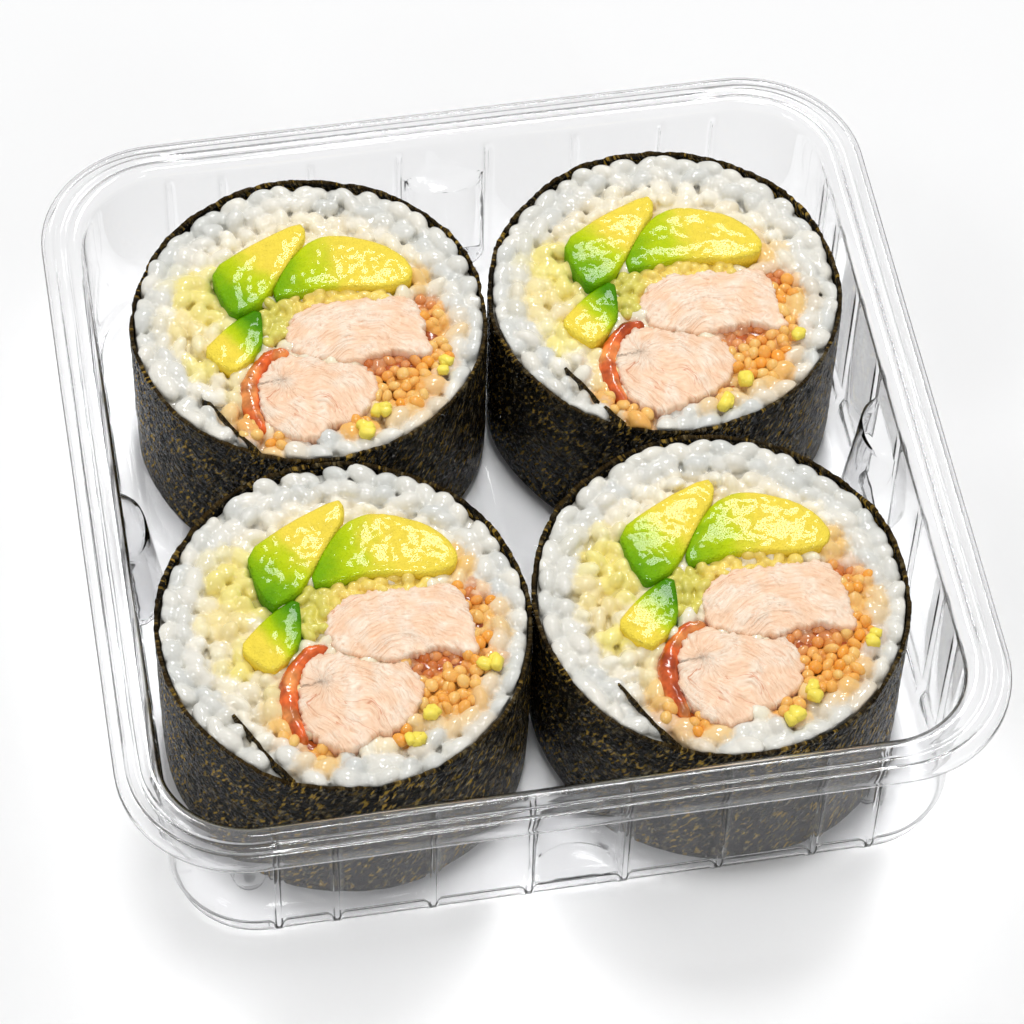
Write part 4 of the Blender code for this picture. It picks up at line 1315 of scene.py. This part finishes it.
def meat_material(moist):
    """Cooked meat with fine fibres along its wrap map, and thin cracks between them, painted darker as shade.
    """
    made, nodes, shader = new_material(
        "chicken", Roughness=0.45, Subsurface_Weight=0.1, Subsurface_Scale=0.9 * MM, Coat_Weight=0.15,
        Coat_Roughness=0.2, **moist,
    )
    wrap = nodes.wrap()
    strands = nodes.noise(wrap, 26, 3)
    shade = nodes.ramp(
        strands, (0.3, (0.88, 0.76, 0.66, 1)), (0.46, (0.98, 0.96, 0.94, 1)), (0.7, (1.04, 1.04, 1.04, 1)),
    )
    colour = nodes.mix(nodes.tint(), shade, 1.0, "MULTIPLY")
    black, white = (0, 0, 0, 1), (1, 1, 1, 1)
    # Thin dark lines in patches: painted shade in cracks between the fibres
    lines = nodes.ramp(nodes.noise(wrap, 7, 2), (0.478, black), (0.5, white), (0.522, black))
    cracks = nodes.mix(lines, nodes.mask(nodes.noise(wrap, 3.2, 1), 0.56, 0.64), 1.0, "MULTIPLY")
    nodes.feed(shader, Base_Color=nodes.mix(colour, rgba((222, 152, 114)), cracks))
    nodes.bump(strands, 0.22, shader)
    return made


def glaze_material():
    made, nodes, shader = new_material("glaze", Roughness=0.2, Coat_Weight=0.6, Coat_Roughness=0.05, IOR=1.4)
    spot = nodes.place()
    shade = nodes.ramp(nodes.noise(spot, 500, 2), (0.3, (0.5, 0.45, 0.4, 1)), (0.7, (1.3, 1.3, 1.3, 1)))
    nodes.feed(shader, Base_Color=nodes.mix(nodes.tint(), shade, 1.0, "MULTIPLY"))
    nodes.bump(nodes.noise(spot, 900, 1), 0.15, shader)
    return made


def make_materials():
    moist = dict(Subsurface_Radius=(1.0, 0.97, 0.92), IOR=1.4)
    return {
        "tray": clear_material(),
        "nori": nori_material(),
        "rice": tinted_material(
            "rice", (1500, 0.05), (700, 0.97, 1.03), Roughness=0.3, Subsurface_Weight=0.3,
            Subsurface_Scale=0.6 * MM, Coat_Weight=0.9, Coat_Roughness=0.05, Specular_IOR_Level=0.25, **moist,
        ),
        "core": tinted_material("rice_core", (900, 0.3), (500, 0.85, 1.05), Roughness=0.5, **moist),
        "avocado": tinted_material(
            "avocado", (3000, 0.26), (800, 0.93, 1.05), Roughness=0.4, Coat_Weight=0.22, Coat_Roughness=0.06,
            Specular_IOR_Level=0.08, **moist,
        ),
        "chicken": meat_material(moist),
        "mash": tinted_material(
            "mash", (1500, 0.08), (900, 0.92, 1.06), Roughness=0.32, Subsurface_Weight=0.15,
            Subsurface_Scale=0.9 * MM, Coat_Weight=0.3, Coat_Roughness=0.1, **moist,
        ),
        "crumb": tinted_material(
            "crumb", (1500, 0.08), (900, 0.96, 1.02), Roughness=0.35, Specular_IOR_Level=0.2, Coat_Weight=0.2,
            Coat_Roughness=0.08, **moist,
        ),
        "glaze": glaze_material(),
    }


# Floor, light and camera


def build_stage():
    mesh = bpy.data.meshes.new("floor")
    corners = [(FLOOR_REACH * x, FLOOR_REACH * y, 0) for x, y in ((-1, -1), (1, -1), (1, 1), (-1, 1))]
    mesh.from_pydata(corners, [], [(0, 1, 2, 3)])
    matt = dict(Base_Color=(0.92, 0.92, 0.92, 1), Roughness=0.7, Specular_IOR_Level=0.2)
    mesh.materials.append(new_material("floor", **matt)[0])
    linked("floor", mesh)


def area_light(name, spot, size, power):
    """A soft box that looks at the middle of the tray."""
    lamp = bpy.data.lights.new(name, "AREA")
    lamp.shape = "RECTANGLE"
    lamp.size, lamp.size_y = size
    lamp.energy = power
    made = linked(name, lamp)
    made.location = spot
    made.rotation_euler = (-Vector(spot)).to_track_quat("-Z", "Y").to_euler()


def build_light():
    world = bpy.data.worlds.new("studio")
    bpy.context.scene.world = world
    world.use_nodes = True
    nodes = Nodes(world.node_tree)
    height = nodes.add("SeparateXYZ", Vector=nodes.add("TexCoord").outputs["Generated"]).outputs["Z"]
    low, middle, high = (0.42, 0.43, 0.45, 1), (0.62, 0.63, 0.65, 1), (1, 1, 1, 1)
    sky = nodes.ramp(height, (0.0, low), (0.25, middle), (0.7, high))
    nodes.feed(world.node_tree.nodes["Background"], Color=sky, Strength=WORLD_STRENGTH)
    for light in LIGHTS:
        area_light(*light)


def build_camera():
    lens = bpy.data.cameras.new("camera")
    lens.sensor_width = SENSOR
    lens.lens = LENS
    lens.clip_start = 0.01
    lens.clip_end = 20.0
    made = linked("camera", lens)
    turn = Matrix((CAMERA_RIGHT, CAMERA_UP, CAMERA_BACK)).transposed()
    made.matrix_world = Matrix.Translation(Vector(CAMERA_PLACE) * MM) @ turn.to_4x4()
    bpy.context.scene.camera = made


def build_all():
    materials = make_materials()
    build_tray(materials["tray"])
    for number, (name, (centre, half, shift)) in enumerate(ROLLS.items()):
        made = Slice(name, number + 1, centre, half, shift)
        made.build_nori(materials["nori"])
        made.build_rice(materials["rice"], materials["core"])
        made.build_small_grains(materials["rice"])
        for kind in AVOCADO_LOOKS:
            made.build_avocado(kind, materials["avocado"])
        for kind in FIBRE_FOCUS:
            made.build_chicken(kind, materials["chicken"])
        made.build_red_strip(materials["glaze"])
        made.build_mash(materials["mash"])
        made.build_crumbs(materials["crumb"])
        made.build_sauce(materials["glaze"])


build_camera()
build_stage()
build_light()
build_all()
bpy.context.scene.view_settings.view_transform = "Standard"
bpy.context.scene.view_settings.look = "None"
for key, value in BOUNCES.items():
    setattr(bpy.context.scene.cycles, key, value)
